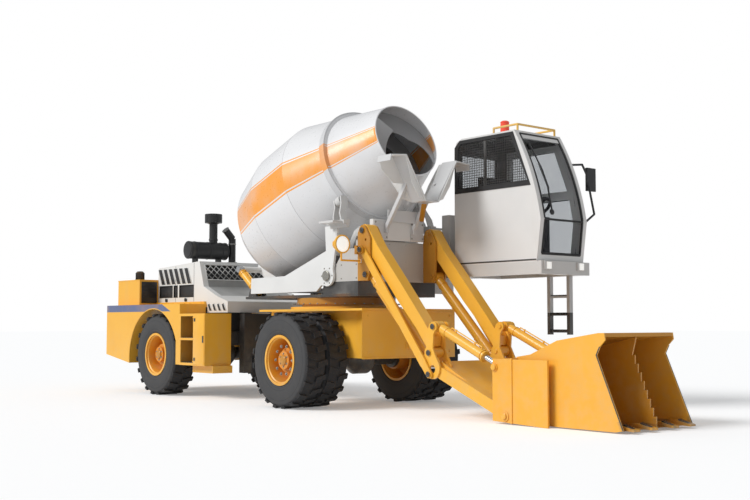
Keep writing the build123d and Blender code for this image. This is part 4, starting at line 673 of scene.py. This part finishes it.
# Wheels: nuts on the discs and round the caps, stepped caps and valves
def wheel_parts(name, body, centre_x, side, disc_y, cap_y):
    nuts = Piece(name + "_nuts")
    for dx, dz in around(10, 168):
        nuts.bolt((centre_x + dx, side * disc_y, WHEEL_Z + dz), (0, side, 0), 22)
    for dx, dz in around(6, 76, 0.5):
        nuts.bolt((centre_x + dx, side * cap_y, WHEEL_Z + dz), (0, side, 0), 14)
    nuts.tube(
        [
            (centre_x + 232, side * (disc_y + 4), WHEEL_Z), (centre_x + 240, side * (disc_y + 34), WHEEL_Z),
            (centre_x + 246, side * (disc_y + 60), WHEEL_Z),
        ],
        6, 8,
    )
    nuts.done(zinc, body, "bare_steel", 0.8)
    cap = Piece(name + "_cap")
    cap.turned(
        (centre_x, side * cap_y, WHEEL_Z), (0, side, 0),
        ((0, 60), (10, 60), (16, 54), (16, 40), (20, 36), (22, 18)), 32,
    )
    cap.done(ochre, body, "yellow_paint", 0.8)


for side, hand in ((1, "left"), (-1, "right")):
    wheel_parts(f"front_wheel_{hand}", f"front_wheels_{hand}", 0.0, side, 1132.0, 1140.0)
    wheel_parts(f"rear_wheel_{hand}", f"rear_wheel_{hand}", -WHEELBASE, side, 904.0, 1030.0)

# Hood: black liners of painted shadow behind the openings, painted louvre shadows and fins, window panes and
# frames, grille surround
HOOD_WINDOWS = ((-3800, 365), (-3390, 100), (-3230, 380))
# Painted shadow: black sheets behind the hood's openings darken what shows through them.
shadow_liner = Piece("hood_shadow_liner")
shadow_liner.prism(((-3825, 1262), (-3825, 1772), (-2715, 1830), (-2600, 1500), (-2600, 1262)), -652, -644)
shadow_liner.box(-3822, -2660, -640, -600, 1262, 1290)
shadow_liner.mirrored()
shadow_liner.plates([
    [(-2722, -610, 1800), (-2722, 610, 1800), (-2650, 610, 1560), (-2650, -610, 1560)],
    [(-2734, -610, 1796), (-2734, 610, 1796), (-2662, 610, 1556), (-2662, -610, 1556)],
])
shadow_liner.done(black_plastic, "rear_module", "black_plastic", 1.0)
# Painted shadow: black plates fill the louvre slots.
louvre_shadows = Piece("hood_louvre_painted_shadows")
fins = Piece("hood_louvre_fins")


def louvre_slot(x, width, lean, low, high):
    """Leaning slot as a side-view outline."""
    return ((x, high), (x + width, high), (x + width + lean, low), (x + lean, low))


for count, first, pitch, width, lean, low, high in (
    (6, -3836.0, 148.0, 100.0, 105.0, 1557.0, 1778.0), (4, -2452.0, 120.0, 56.0, 52.0, 1168.0, 1254.0),
):
    for index in range(count):
        start = first + index * pitch
        louvre_shadows.prism(louvre_slot(start, width, lean, low, high), -HOOD_SIDE - 3, -HOOD_SIDE + 1)
        for edge in (start - 8, start + width):
            fins.prism(louvre_slot(edge, 8, lean, low, high), -HOOD_SIDE - 12, -HOOD_SIDE + 1)
louvre_shadows.mirrored()
fins.mirrored()
louvre_shadows.done(black_plastic, "rear_module", "black_plastic", 0.5)
fins.done(white, "rear_module", "white_paint", 1.5)
panes = Piece("hood_window_panes")
frames = Piece("hood_window_frames")
for start, width in HOOD_WINDOWS:
    panes.box(start + 2, start + width - 2, -671, -666, 1372, 1528)
    for x0, x1, z0, z1 in (
        (start - 6, start + width + 6, 1528, 1538), (start - 6, start + width + 6, 1362, 1372),
        (start - 8, start + 2, 1362, 1538), (start + width - 2, start + width + 8, 1362, 1538),
    ):
        frames.box(x0, x1, -684, -670, z0, z1)
    frames.bolt((start + 14, -672, 1512), (0, -1, 0), 9)
    frames.bolt((start + width - 14, -672, 1388), (0, -1, 0), 9)
panes.mirrored()
frames.mirrored()
panes.done(black_plastic, "rear_module", "black_plastic", 1.0)
frames.done(rubber, "rear_module", "dark_paint", 1.2)

slant = (Vector((-2570, 0, 1505)) - Vector((-2690, 0, 1860))).normalized()
outwards = Vector((-slant.z, 0, slant.x)).normalized()


def on_slant(run, aside, out):
    """Point on the hood's slanted front: run down from the crest, aside, and out of it."""
    point = Vector((-2690, 0, 1860)) + slant * run + outwards * out
    return (point.x, aside, point.z)


surround = Piece("hood_grille_surround")
for run0, run1, side0, side1 in (
    (36, 46, -612, 612), (268, 278, -612, 612), (36, 278, -612, -600), (36, 278, 600, 612),
):
    corners = ((run0, side0), (run0, side1), (run1, side1), (run1, side0))
    surround.plates([[on_slant(run, aside, out) for run, aside in corners] for out in (0, 7)])
for aside in (-560, -280, 0, 280, 560):
    surround.bolt(on_slant(41, aside, 7), outwards, 10)
    surround.bolt(on_slant(273, aside, 7), outwards, 10)
surround.done(white, "rear_module", "white_paint", 1.2)

skirt = Piece("hood_skirt_strip")
skirt.box(-3866, -2500, -716, -680, 1258, 1296)
skirt.prism(((-2500, 1258), (-2500, 1296), (-2486, 1258)), -716, -680)
for index in range(9):
    skirt.bolt((-3800 + index * 155, -716, 1278), (0, -1, 0), 10)
skirt.mirrored()
skirt.done(gold, "rear_module", "yellow_paint", 2.0)

latches = Piece("hood_latches_and_seams")
for x in (-3600, -3050):
    latches.box(x - 32, x + 32, -690, -680, 1308, 1344)
    latches.box(x - 10, x + 10, -698, -688, 1302, 1352)
    latches.bolt((x - 22, -690, 1326), (0, -1, 0), 7)
    latches.bolt((x + 22, -690, 1326), (0, -1, 0), 7)
latches.box(-3346, -3341, -682, -680, 1300, 1815)
latches.box(-2836, -2831, -682, -680, 1300, 1845)
latches.mirrored()
latches.done(dark_paint, "rear_module", "dark_paint", 1.0)

# Rear box: dark bay with ribs, partly a dark cooler face and partly painted shade, lid with hinges, ribbed
# cap; tank doors and treads
# Black bay and ribs: a dark cooler face, and painted shade in the open bay.
shaded_bay = Piece("rear_box_shaded_bay")
for side in (-1, 1):
    low, high = sorted((side * 700, side * 950))
    shaded_bay.box(-3862, -3852, low, high, 1290, 1600)
    for index in range(6):
        shaded_bay.box(-3852, -3846, low + 12, high - 12, 1314 + index * 46, 1336 + index * 46)
shaded_bay.done(black_plastic, "rear_module", "black_plastic", 1.5)
cap = Piece("filler_cap_ribs")
for dx, dy in around(18, 60):
    x, y = FILLER[0] + dx, FILLER[1] + dy
    cap.tube([(x, y, BOX_TOP + 10), (x, y, BOX_TOP + 110)], 6, 6)
cap.turned((*FILLER, BOX_TOP), (0, 0, 1), ((0, 74), (8, 74), (12, 66)), 24)
cap.turned((*FILLER, BOX_TOP + 120), (0, 0, 1), ((0, 50), (10, 46), (14, 30)), 24)
cap.done(black_plastic, "rear_module", "black_plastic", 0.8)
lid = Piece("rear_box_lid")
lid.box(-4534, -3858, -984, 984, 1618, 1632)
for y in (-700, 0, 700):
    lid.box(-4300, -4240, y - 40, y + 40, 1632, 1640)
    lid.bolt((-4270, y - 24, 1640), (0, 0, 1), 8)
    lid.bolt((-4270, y + 24, 1640), (0, 0, 1), 8)
lid.done(gold, "rear_module", "yellow_paint", 3.0)
tank = Piece("tank_doors_and_treads")
for level in (474, 804):
    for index in range(5):
        x = -2440 + index * 64
        tank.box(x, x + 34, -1100, -925, level, level + 6)
for z in (520, 1040):
    tank.box(-2100, -2060, -1113, -1105, z - 22, z + 22)
    tank.bolt((-2080, -1113, z), (0, -1, 0), 10)
tank.box(-1880, -1852, -1116, -1105, 740, 830)
tank.mirrored()
tank.done(dark_paint, "rear_module", "dark_paint", 1.0)
door = Piece("tank_door_panels")
door.box(-2112, -1842, -1110, -1104, 452, 1108)
for z in (490, 780, 1070):
    door.bolt((-2128, -1105, z), (0, -1, 0), 9)
door.mirrored()
door.done(gold, "rear_module", "yellow_paint", 4.0)

# Fender edges
def circle_through(*points):
    """Centre of the circle through three points of a side view."""
    determinant = x = z = 0.0
    for point, after, before in zip(points, points[1:] + points[:1], points[2:] + points[:2]):
        determinant += 2 * point.x * (after.y - before.y)
        x += point.length_squared * (after.y - before.y)
        z += point.length_squared * (before.x - after.x)
    return Vector((x / determinant, z / determinant))


fender = Piece("fender_edge")
arc = []
start, top, end = Vector((-3915, 425)), Vector((-3290, 1192)), Vector((-2577, 760))
centre = circle_through(start, top, end)
radius = (start - centre).length
first = math.atan2(start.y - centre.y, start.x - centre.x) % (2 * math.pi)
last = math.atan2(end.y - centre.y, end.x - centre.x)
for index in range(29):
    turn = first + (last - first) * index / 28
    arc.append((centre.x + (radius + 4) * math.cos(turn), -1098, centre.y + (radius + 4) * math.sin(turn)))
fender.tube(arc, 9, 8)
fender.mirrored()
fender.done(gold, "rear_module", "yellow_paint", 0)

# Air cleaner bands, precleaner bowl and exhaust flap
cleaner = Piece("air_cleaner_bands")
for y in (-560, -470, -250, -40, 44):
    cleaner.turned((CLEANER[0], y, CLEANER[1]), (0, 1, 0), ((-9, 124), (-9, 129), (9, 129), (9, 124)), 40)
for dx, dy in around(14, 122):
    x, y = CLEANER[0] + dx, PRECLEANER_Y + dy
    cleaner.box(x - 4, x + 4, y - 4, y + 4, 2470, 2584)
for z, profile in (
    (2590, ((0, 118), (4, 96), (6, 40))), (2446, ((0, 70), (14, 96), (16, 118))), (2200, ((0, 66), (26, 66))),
):
    cleaner.turned((CLEANER[0], PRECLEANER_Y, z), (0, 0, 1), profile, 28)
cleaner.box(-3190, -3178, -158, -136, 2040, 2184)
cleaner.turned((CLEANER[0], -572, CLEANER[1]), (0, -1, 0), ((-2, 104), (8, 100), (10, 40)), 32)
cleaner.done(black_plastic, "rear_module", "black_plastic", 1.0)
flap = Piece("exhaust_flange")
flap.turned((-3140, 140, 1880), (0, 0, 1), ((0, 76), (12, 76), (14, 70)), 28)
flap.turned((-3140, 140, 2150), (0, 0, 1), ((0, 58), (20, 58)), 28)
flap.turned((-3140, 20, 2370), (0, -0.678, 0.735), ((-10, 54), (-10, 57), (2, 57), (2, 54)), 28)
flap.done(steel, "rear_module", "bare_steel", 0.8)

# Front frame: ring bolts, stiffeners and edges
ring_bolts = Piece("slew_ring_bolts")
for dx, dy in around(36, 668):
    ring_bolts.bolt((-250 + dx, dy, 1226), (0, 0, 1), 17)
ring_bolts.done(zinc, "chassis", "bare_steel", 0.8)
nose = Piece("nose_plate_edges")
for z in (596, 1128):
    nose.box(944, 956, -700, 700, z, z + 10)
nose.box(944, 958, -70, 70, 700, 760)
nose.turned((956, 0, 730), (1, 0, 0), ((0, 40), (16, 40), (20, 34)), 24)
for side in (-1, 1):
    for z in (660, 1080):
        nose.bolt((950, side * 640, z), (1, 0, 0), 16)
nose.done(gold, "chassis", "yellow_paint", 1.5)

# Turntable: bolts of the platform and tower, tower panel, pin keepers, lamp ring and glass
bolts = Piece("platform_bolts")
for x in (-1500, -1200, -900, -600, 0, 300, 600):
    bolts.bolt((x, -575, 1343), (0, 0, 1), 16)
    bolts.bolt((x, 575, 1343), (0, 0, 1), 16)
for side in (-1, 1):
    for x, z in ((130, 1520), (190, 1680), (420, 1520), (420, 1680), (700, 1520), (700, 1680)):
        bolts.bolt((x, side * 610, z), (0, side, 0), 11)
bolts.done(zinc, "turntable", "bare_steel", 0.8)
panel = Piece("tower_front_panel")
panel.box(729, 733, -402, 402, 1500, 1946)
for z in (1520, 1725, 1930):
    for y in (-380, -130, 130, 380):
        panel.bolt((733, y, z), (1, 0, 0), 10)
panel.done(
    paint("tower_panel_enamel", srgb(186, 183, 178), srgb(172, 169, 164)), "turntable", "white_paint", 2.0
)
keepers = Piece("pin_keepers")
for (x, z), out, radius, bolt in (
    (ARM_PIN, 626, 34, 13), (LIFT_BASE, 626, 34, 13), ((840, 1840), 684, 32, 12),
):
    keepers.turned((x, -out, z), (0, -1, 0), ((0, radius), (6, radius), (8, radius - 4)), 24)
    keepers.bolt((x, -out - 8, z), (0, -1, 0), bolt)
keepers.mirrored()
keepers.done(dark_paint, "turntable", "dark_paint", 0.8)
lamp = Piece("lamp_ring")
lamp.turned(LAMP, (1, 0, 0), ((-22, 100), (-22, 108), (2, 108), (4, 102), (2, 94)), 40)
lamp.box(748, 772, -1000, -992, 1870, 1920)
lamp.box(748, 772, -794, -786, 1870, 1920)
lamp.done(gold, "turntable", "yellow_paint", 0.8)
lamp_glass = Piece("lamp_glass")
lamp_glass.turned(LAMP, (1, 0, 0), ((0, 92), (5, 86), (9, 60), (11, 24)), 40)
lamp_glass.done(glowing_clear_lens, "turntable", "signal_plastic", 0)

# Cab: window seals and mesh, wiper, edging, lamps, rail, strips, beacon, mirror, treads, console
seals = Piece("cab_window_seals")
side_window = [(1050, 2620), (1050, 3120), (1110, 3175), (1930, 3175), (2190, 2620)]
rear_window = [(790, 2560), (1420, 2560), (1420, 3060), (790, 3060)]
seals.loop([(x, CAB_RIGHT - 1, z) for x, z in side_window], 9)
seals.loop([(CAB_REAR - 1, y, z) for y, z in rear_window], 9)
frame_outside = [(1000, 2566), (1000, 3135), (1085, 3214), (1962, 3214), (2226, 2566)]
frame_inside = [(1058, 2628), (1058, 3112), (1114, 3168), (1924, 3168), (2180, 2628)]
for index in range(5):
    after = (index + 1) % 5
    strip = (frame_outside[index], frame_outside[after], frame_inside[after], frame_inside[index])
    seals.prism(strip, CAB_RIGHT - 7, CAB_RIGHT)
seals.done(rubber, "turntable", "dark_paint", 0)
mesh_panes = Piece("cab_mesh_panes")


def window_front(z):
    """Front edge of the side window at a height."""
    return 2190 - (z - 2620) * 260 / 555 - 14


for index in range(18):
    z = 2646 + index * 29
    mesh_panes.box(1058, window_front(z), 702, 706, z, z + 6)
for index in range(38):
    x = 1070 + index * 29
    top = 3168 if x < 1920 else 2620 + (2170 - x) * 555 / 260
    if top > 2650:
        mesh_panes.box(x, x + 6, 698, 702, 2625, min(3168, top))
mesh_panes.done(dark_paint, "turntable", "dark_paint", 0, smooth=False)


def screen(share, aside, out=0.0):
    """Point on the curved windscreen, share 0 at its foot to 1 at its top."""
    low, middle, high = Vector((2370, 2170)), Vector((2235, 2700)), Vector((1975, 3235))
    span = low.lerp(middle, share * 2) if share < 0.5 else middle.lerp(high, share * 2 - 1)
    bulge = 14 * math.sin(math.pi * ((share * 2) % 1.0))
    return (span.x + bulge + out, aside, span.y + bulge * 0.3)


wiper = Piece("windscreen_wiper")
wiper.tube([screen(0.10, 900, 14), screen(0.36, 905, 18), screen(0.62, 870, 16)], 10, 8)
wiper.tube([screen(0.34, 925, 10), screen(0.56, 900, 12), screen(0.86, 850, 8)], 9, 6)
wiper.turned(screen(0.08, 900, 4), (1, 0, 0.2), ((0, 34), (14, 34), (18, 24)), 20)
wiper.done(black_plastic, "turntable", "black_plastic", 0.6)
edging = Piece("windscreen_edging")
steps = [index / 16 for index in range(17)]
PANE_SIDES = (772.0, 1438.0)
for aside in PANE_SIDES:
    edging.tube([screen(0.01 + 0.95 * step, aside, -6) for step in steps], 15, 8)
edging.tube([screen(0.96, aside, -6) for aside in PANE_SIDES], 15, 8)
for aside in PANE_SIDES:
    edging.tube([(2316, aside, 1782), (2362, aside, 2172)], 14, 8)
edging.tube([(2316, aside, 1786) for aside in PANE_SIDES], 16, 8)
edging.tube([(2362, aside, 2172) for aside in PANE_SIDES], 13, 8)
edging.done(rubber, "turntable", "dark_paint", 0)
lamps = Piece("cab_head_lamps")
for y in HEAD_LAMPS:
    lamps.plates([
        [(x, y + half * across, 1647 + half * up) for across, up in ((-1, -1), (1, -1), (1, 1), (-1, 1))]
        for x, half in ((2389, 40), (2396, 37))
    ])
lamps.done(glowing_clear_lens, "turntable", "signal_plastic", 0)
rails = Piece("cab_grab_rails_and_bolts")
rails.tube([(2240, 1520, 1800), (2262, 1548, 1820), (2272, 1548, 2060), (2262, 1520, 2080)], 11, 10)
rails.done(dark_paint, "turntable", "dark_paint", 0.8)
strip = Piece("cab_lower_strips")
strip.box(992, 2300, 694, 700, 1706, 1722)
strip.box(984, 990, 712, 1498, 1706, 1722)
strip.done(dark_paint, "turntable", "dark_paint", 1.0)
door_parts = Piece("cab_door_seals")
for outline in (
    [(1200, 2560), (1200, 3060), (1910, 3060), (2110, 2560)],
    [(1330, 1800), (1330, 2460), (2140, 2460), (2195, 2170), (2150, 1800)],
):
    door_parts.loop([(x, CAB_LEFT + 1, z) for x, z in outline], 8)
door_parts.box(2046, 2164, 1510, 1518, 2478, 2532)
door_parts.done(rubber, "cab_door", "dark_paint", 0)
socket = Piece("beacon_base")
socket.turned((*BEACON, CAB_ROOF), (0, 0, 1), ((0, 68), (10, 68), (16, 60), (46, 60)), 32)
socket.done(black_plastic, "turntable", "black_plastic", 0.8)
dome = Piece("beacon_dome")
dome.turned(
    (*BEACON, CAB_ROOF), (0, 0, 1),
    ((46, 50), (46, 56), (196, 53), (196, 56), (204, 56), (212, 50), (220, 36), (222, 14)), 40,
)
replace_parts(dome.done(amber, "turntable", "signal_plastic", 0), "beacon")
mirror = Piece("mirror_glass")
mirror.box(2169, 2175, 1745, 1885, 2592, 2848)
mirror.done(mirror_face, "turntable", "bare_steel", 1.0)
treads = Piece("ladder_treads")
for z in LADDER_TREADS:
    treads.box(1872, 2128, 1434, 1466, z + 12, z + 19)
    for index in range(8):
        treads.box(1884 + index * 30, 1892 + index * 30, 1434, 1466, z + 19, z + 22)
treads.done(black_plastic, "turntable", "black_plastic", 0.8)
desk = Piece("cab_console")
desk.box(1420, 1800, 1370, 1430, 2140, 2230)
for x, top, radius, knob in (
    (1740, 2330, 9, ((0, 16), (16, 22), (36, 18), (42, 8))),
    (1660, 2300, 8, ((0, 14), (14, 19), (30, 16), (36, 6))),
):
    desk.tube([(x, 1400, 2230), (x + 4, 1400, top)], radius, 10)
    desk.turned((x + 4, 1400, top), (0, 0, 1), knob, 16)
desk.done(black_plastic, "turntable", "black_plastic", 3.0)

# Drum: spiral blades that begin at the mouth
DRUM_WALLS = ((0, 454), (648, 678), (1304, 902), (2028, 908), (2558, 788))
spiral = Piece("drum_spiral_blades")


def drum_wall(back):
    """Inner radius of the drum at a distance back from its mouth."""
    for (near, near_radius), (far, far_radius) in zip(DRUM_WALLS, DRUM_WALLS[1:]):
        if near <= back <= far:
            return near_radius + (far_radius - near_radius) * (back - near) / (far - near)
    return DRUM_WALLS[-1][1]


def on_drum(back, turn, reach):
    """Point inside the drum: back from the mouth, turned from the left side downwards, off the axis."""
    return MOUTH + BACK * back + (Vector((0, math.cos(turn), 0)) - UP * math.sin(turn)) * reach


for first_turn, first_height in ((216, 250), (36, 8)):
    sections = []
    for step in range(115):
        back = 14 + step * 10
        turn = math.radians(first_turn - step * 4)
        wall = drum_wall(back) - 4
        height = min(260, first_height + step * 16)
        sections.append([
            on_drum(back - 5, turn, wall), on_drum(back - 5, turn, wall - height),
            on_drum(back + 5, turn, wall - height), on_drum(back + 5, turn, wall),
        ])
    spiral.plates(sections)
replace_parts(spiral.done(NODE_LOOKS["drum_blades"], "drum", "white_paint", 0), "drum_blades")

# Cradle and hopper: bolts on the brackets, edge flanges with folded sheets, ochre brace
bolts = Piece("cradle_bolts")
for y in (200, 372):
    for z in (2012, 2184):
        bolts.bolt((763, y, z), (1, 0, 0), 13)
for x in (350, 560):
    for y in (690, 720):
        bolts.bolt((x, y, 2200), (0, 0, 1), 13)
bolts.turned((190, 662, 1560), (0, 1, 0), ((0, 62), (12, 62), (16, 56)), 32)
for dx, dz in around(6, 100):
    bolts.bolt((190 + dx, 650, 1560 + dz), (0, 1, 0), 11)
bolts.mirrored()
bolts.done(zinc, "drum_cradle", "bare_steel", 0.8)
flanges = Piece("hopper_edge_flanges")
for x in (1092, 1330):
    flanges.tube([(x + 4, 100, 2404), (x + 4, 396, 2904), (x + 4, 610, 2884)], 9, 8)
for outline in (
    [(1100, 398, 2898), (1100, 604, 2878), (1045, 520, 2760), (1030, 330, 2620), (1100, 230, 2610)],
    [
        (1100, 404, 2904), (1008, 428, 2904), (984, 384, 2800), (958, 300, 2650), (1000, 160, 2450),
        (1100, 112, 2404),
    ],
    [(1328, 112, 2412), (1328, 398, 2896), (1322, 300, 2600), (1322, 190, 2440)],
):
    flanges.plates([outline, [(x - 8, y, z) for x, y, z in outline]])
flanges.mirrored()
flanges.done(white, "drum_cradle", "white_paint", 0)
brace = Piece("hopper_brace")
brace.plates([
    [(1100, 50, 2395), (1128, 50, 2395), (884, 226, 2215), (856, 226, 2215)],
    [(1100, 110, 2395), (1128, 110, 2395), (884, 286, 2215), (856, 286, 2215)],
])
brace.done(ochre, "drum_cradle", "yellow_paint", 2.0)

# Front arms and bucket: pin heads, keeper bolts, tooth wedges, side edge
arm_pins = Piece("front_arm_pin_heads")
for (x, z), out in ((ELBOW, 624), (TILT_BASE, 624), ((1958, 453), 654)):
    arm_pins.turned((x, -out, z), (0, -1, 0), ((0, 31), (4, 31), (6, 27)), 24)
    arm_pins.bolt((x, -out - 5, z), (0, -1, 0), 11)
arm_pins.mirrored()
arm_pins.done(dark_paint, "front_arms", "dark_paint", 0.6)
teeth = Piece("bucket_tooth_wedges")
for y in (-430, -163, 163, 430):
    teeth.plates([
        [(4330, y - 30, 72), (4330, y + 30, 72), (4330, y + 26, 84), (4330, y - 26, 84)],
        [(4462, y - 30, 36), (4462, y + 30, 36), (4456, y + 24, 42), (4456, y - 24, 42)],
    ])
teeth.done(black_paint, "bucket", "dark_paint", 1.0)
edges = Piece("bucket_side_edges")
for side in (-1, 1):
    low, high = sorted((side * 535, side * 541))
    edges.prism(((4392, 32), (4402, 32), (4114, 702), (4104, 702)), low, high)
    edges.prism(((4104, 702), (4114, 702), (4154, 780), (4144, 780)), low, high)
edges.done(dark_paint, "bucket", "dark_paint", 0.8)
pins = Piece("bucket_pin_heads_and_ribs")
for side in (-1, 1):
    for (x, z), out in ((BUCKET_PIVOT, 642), (TILT_EYE, 644)):
        pins.turned((x, side * out, z), (0, side, 0), ((0, 30), (4, 30), (6, 26)), 24)
pins.done(gold, "bucket", "yellow_paint", 0.6)


# Cylinders: gland rings, steel pipes with their brackets
def cylinder_parts(name, body, base, eye, y, radius, reach, pipe_side):
    piece = Piece(name)
    way = Vector((eye[0] - base[0], 0, eye[1] - base[1])).normalized()
    below = Vector((way.z, 0, -way.x)) * pipe_side
    foot = Vector((base[0], y, base[1]))
    for at, half, rise in ((reach - 44, 4, 8), (reach - 8, 4, 8), (150, 6, 6)):
        band = ((-half, radius + 1), (-half, radius + rise), (half, radius + rise), (half, radius + 1))
        piece.turned(foot + way * at, way, band, 32)
    lift = radius + 20
    piece.tube(
        [
            foot + way * 190 + below * radius, foot + way * 200 + below * lift,
            foot + way * (reach - 90) + below * lift, foot + way * (reach - 78) + below * radius,
        ],
        8, 8,
    )
    for at in (0.35, 0.75):
        spot = foot + way * (reach * at)
        piece.tube([spot + below * (radius - 2), spot + below * (lift + 8)], 12, 6)
    piece.mirrored()
    piece.done(gold, body, "yellow_paint", 0)


cylinder_parts("lift_cylinder_fittings", "lift_barrels", LIFT_BASE, LIFT_EYE, -514, 55, 1310, 1)
cylinder_parts("tilt_cylinder_fittings", "tilt_barrels", TILT_BASE, TILT_EYE, -530, 52, 761, -1)
cylinder_parts("drum_cylinder_fittings", "drum_barrels", DRUM_BASE, DRUM_EYE, -500, 48, 460, 1)


# Stage, light and camera
def highest(nodes, links, *sockets):
    """Largest of some light path masks."""
    result = sockets[0]
    for socket in sockets[1:]:
        node = nodes.new("ShaderNodeMath")
        node.operation = "MAXIMUM"
        links.new(result, node.inputs[0])
        links.new(socket, node.inputs[1])
        result = node.outputs[0]
    return result


def stage_material(name, colour, glow):
    """Pale surface that keeps shadows and shows near white to the camera and in reflections."""
    material = bpy.data.materials.new(name)
    material.use_nodes = True
    nodes, links = material.node_tree.nodes, material.node_tree.links
    nodes.clear()
    plain = nodes.new("ShaderNodeBsdfDiffuse")
    plain.inputs["Color"].default_value = colour
    emit = nodes.new("ShaderNodeEmission")
    emit.inputs["Strength"].default_value = glow
    both = nodes.new("ShaderNodeAddShader")
    path = nodes.new("ShaderNodeLightPath").outputs
    seen = highest(nodes, links, path["Is Camera Ray"], path["Is Glossy Ray"], path["Is Transmission Ray"])
    blend = nodes.new("ShaderNodeMixShader")
    links.new(seen, blend.inputs[0])
    links.new(plain.outputs[0], both.inputs[0])
    links.new(emit.outputs[0], both.inputs[1])
    links.new(plain.outputs[0], blend.inputs[1])
    links.new(both.outputs[0], blend.inputs[2])
    output = nodes.new("ShaderNodeOutputMaterial")
    links.new(blend.outputs[0], output.inputs["Surface"])
    return material


floor_data = bpy.data.meshes.new("floor")
FLOOR_REACH = 120.0
floor_corners = [(x * FLOOR_REACH, y * FLOOR_REACH, -0.001) for x, y in ((-1, -1), (1, -1), (1, 1), (-1, 1))]
floor_data.from_pydata(floor_corners, [], [(0, 1, 2, 3)])
floor_data.materials.append(stage_material("pale_floor", (0.86, 0.86, 0.86, 1.0), 0.22))
add_object("floor", floor_data)

world = bpy.data.worlds.new("studio")
bpy.context.scene.world = world
world.use_nodes = True
nodes, links = world.node_tree.nodes, world.node_tree.links
soft = nodes["Background"]
soft.inputs["Color"].default_value = (0.96, 0.98, 1.0, 1.0)
soft.inputs["Strength"].default_value = 0.44
backdrop = nodes.new("ShaderNodeBackground")
backdrop.inputs["Color"].default_value = (1.0, 1.0, 1.0, 1.0)
backdrop.inputs["Strength"].default_value = 1.0
path = nodes.new("ShaderNodeLightPath").outputs
choose = nodes.new("ShaderNodeMixShader")
links.new(highest(nodes, links, path["Is Camera Ray"], path["Is Transmission Ray"]), choose.inputs[0])
links.new(soft.outputs[0], choose.inputs[1])
links.new(backdrop.outputs[0], choose.inputs[2])
links.new(choose.outputs[0], nodes["World Output"].inputs["Surface"])


def sun(name, towards, strength, spread):
    data = bpy.data.lights.new(name, "SUN")
    data.energy = strength
    data.angle = math.radians(spread)
    add_object(name, data).rotation_euler = Vector(towards).to_track_quat("-Z", "Y").to_euler()


sun("key", (0.25, 0.78, -0.62), 2.35, 24)

camera_data = bpy.data.cameras.new("photo_view")
camera_data.sensor_width = 36.0
camera_data.lens = 52.1
camera_data.clip_end = 400.0
camera = add_object("photo_view", camera_data)
camera.location = (10.5545, -8.877, 0.993)
heading, pitch = math.radians(139.968), math.radians(3.869)
view = Vector((math.cos(heading) * math.cos(pitch), math.sin(heading) * math.cos(pitch), math.sin(pitch)))
camera.rotation_euler = view.to_track_quat("-Z", "Y").to_euler()
bpy.context.scene.camera = camera
bpy.context.scene.view_settings.view_transform = "Standard"
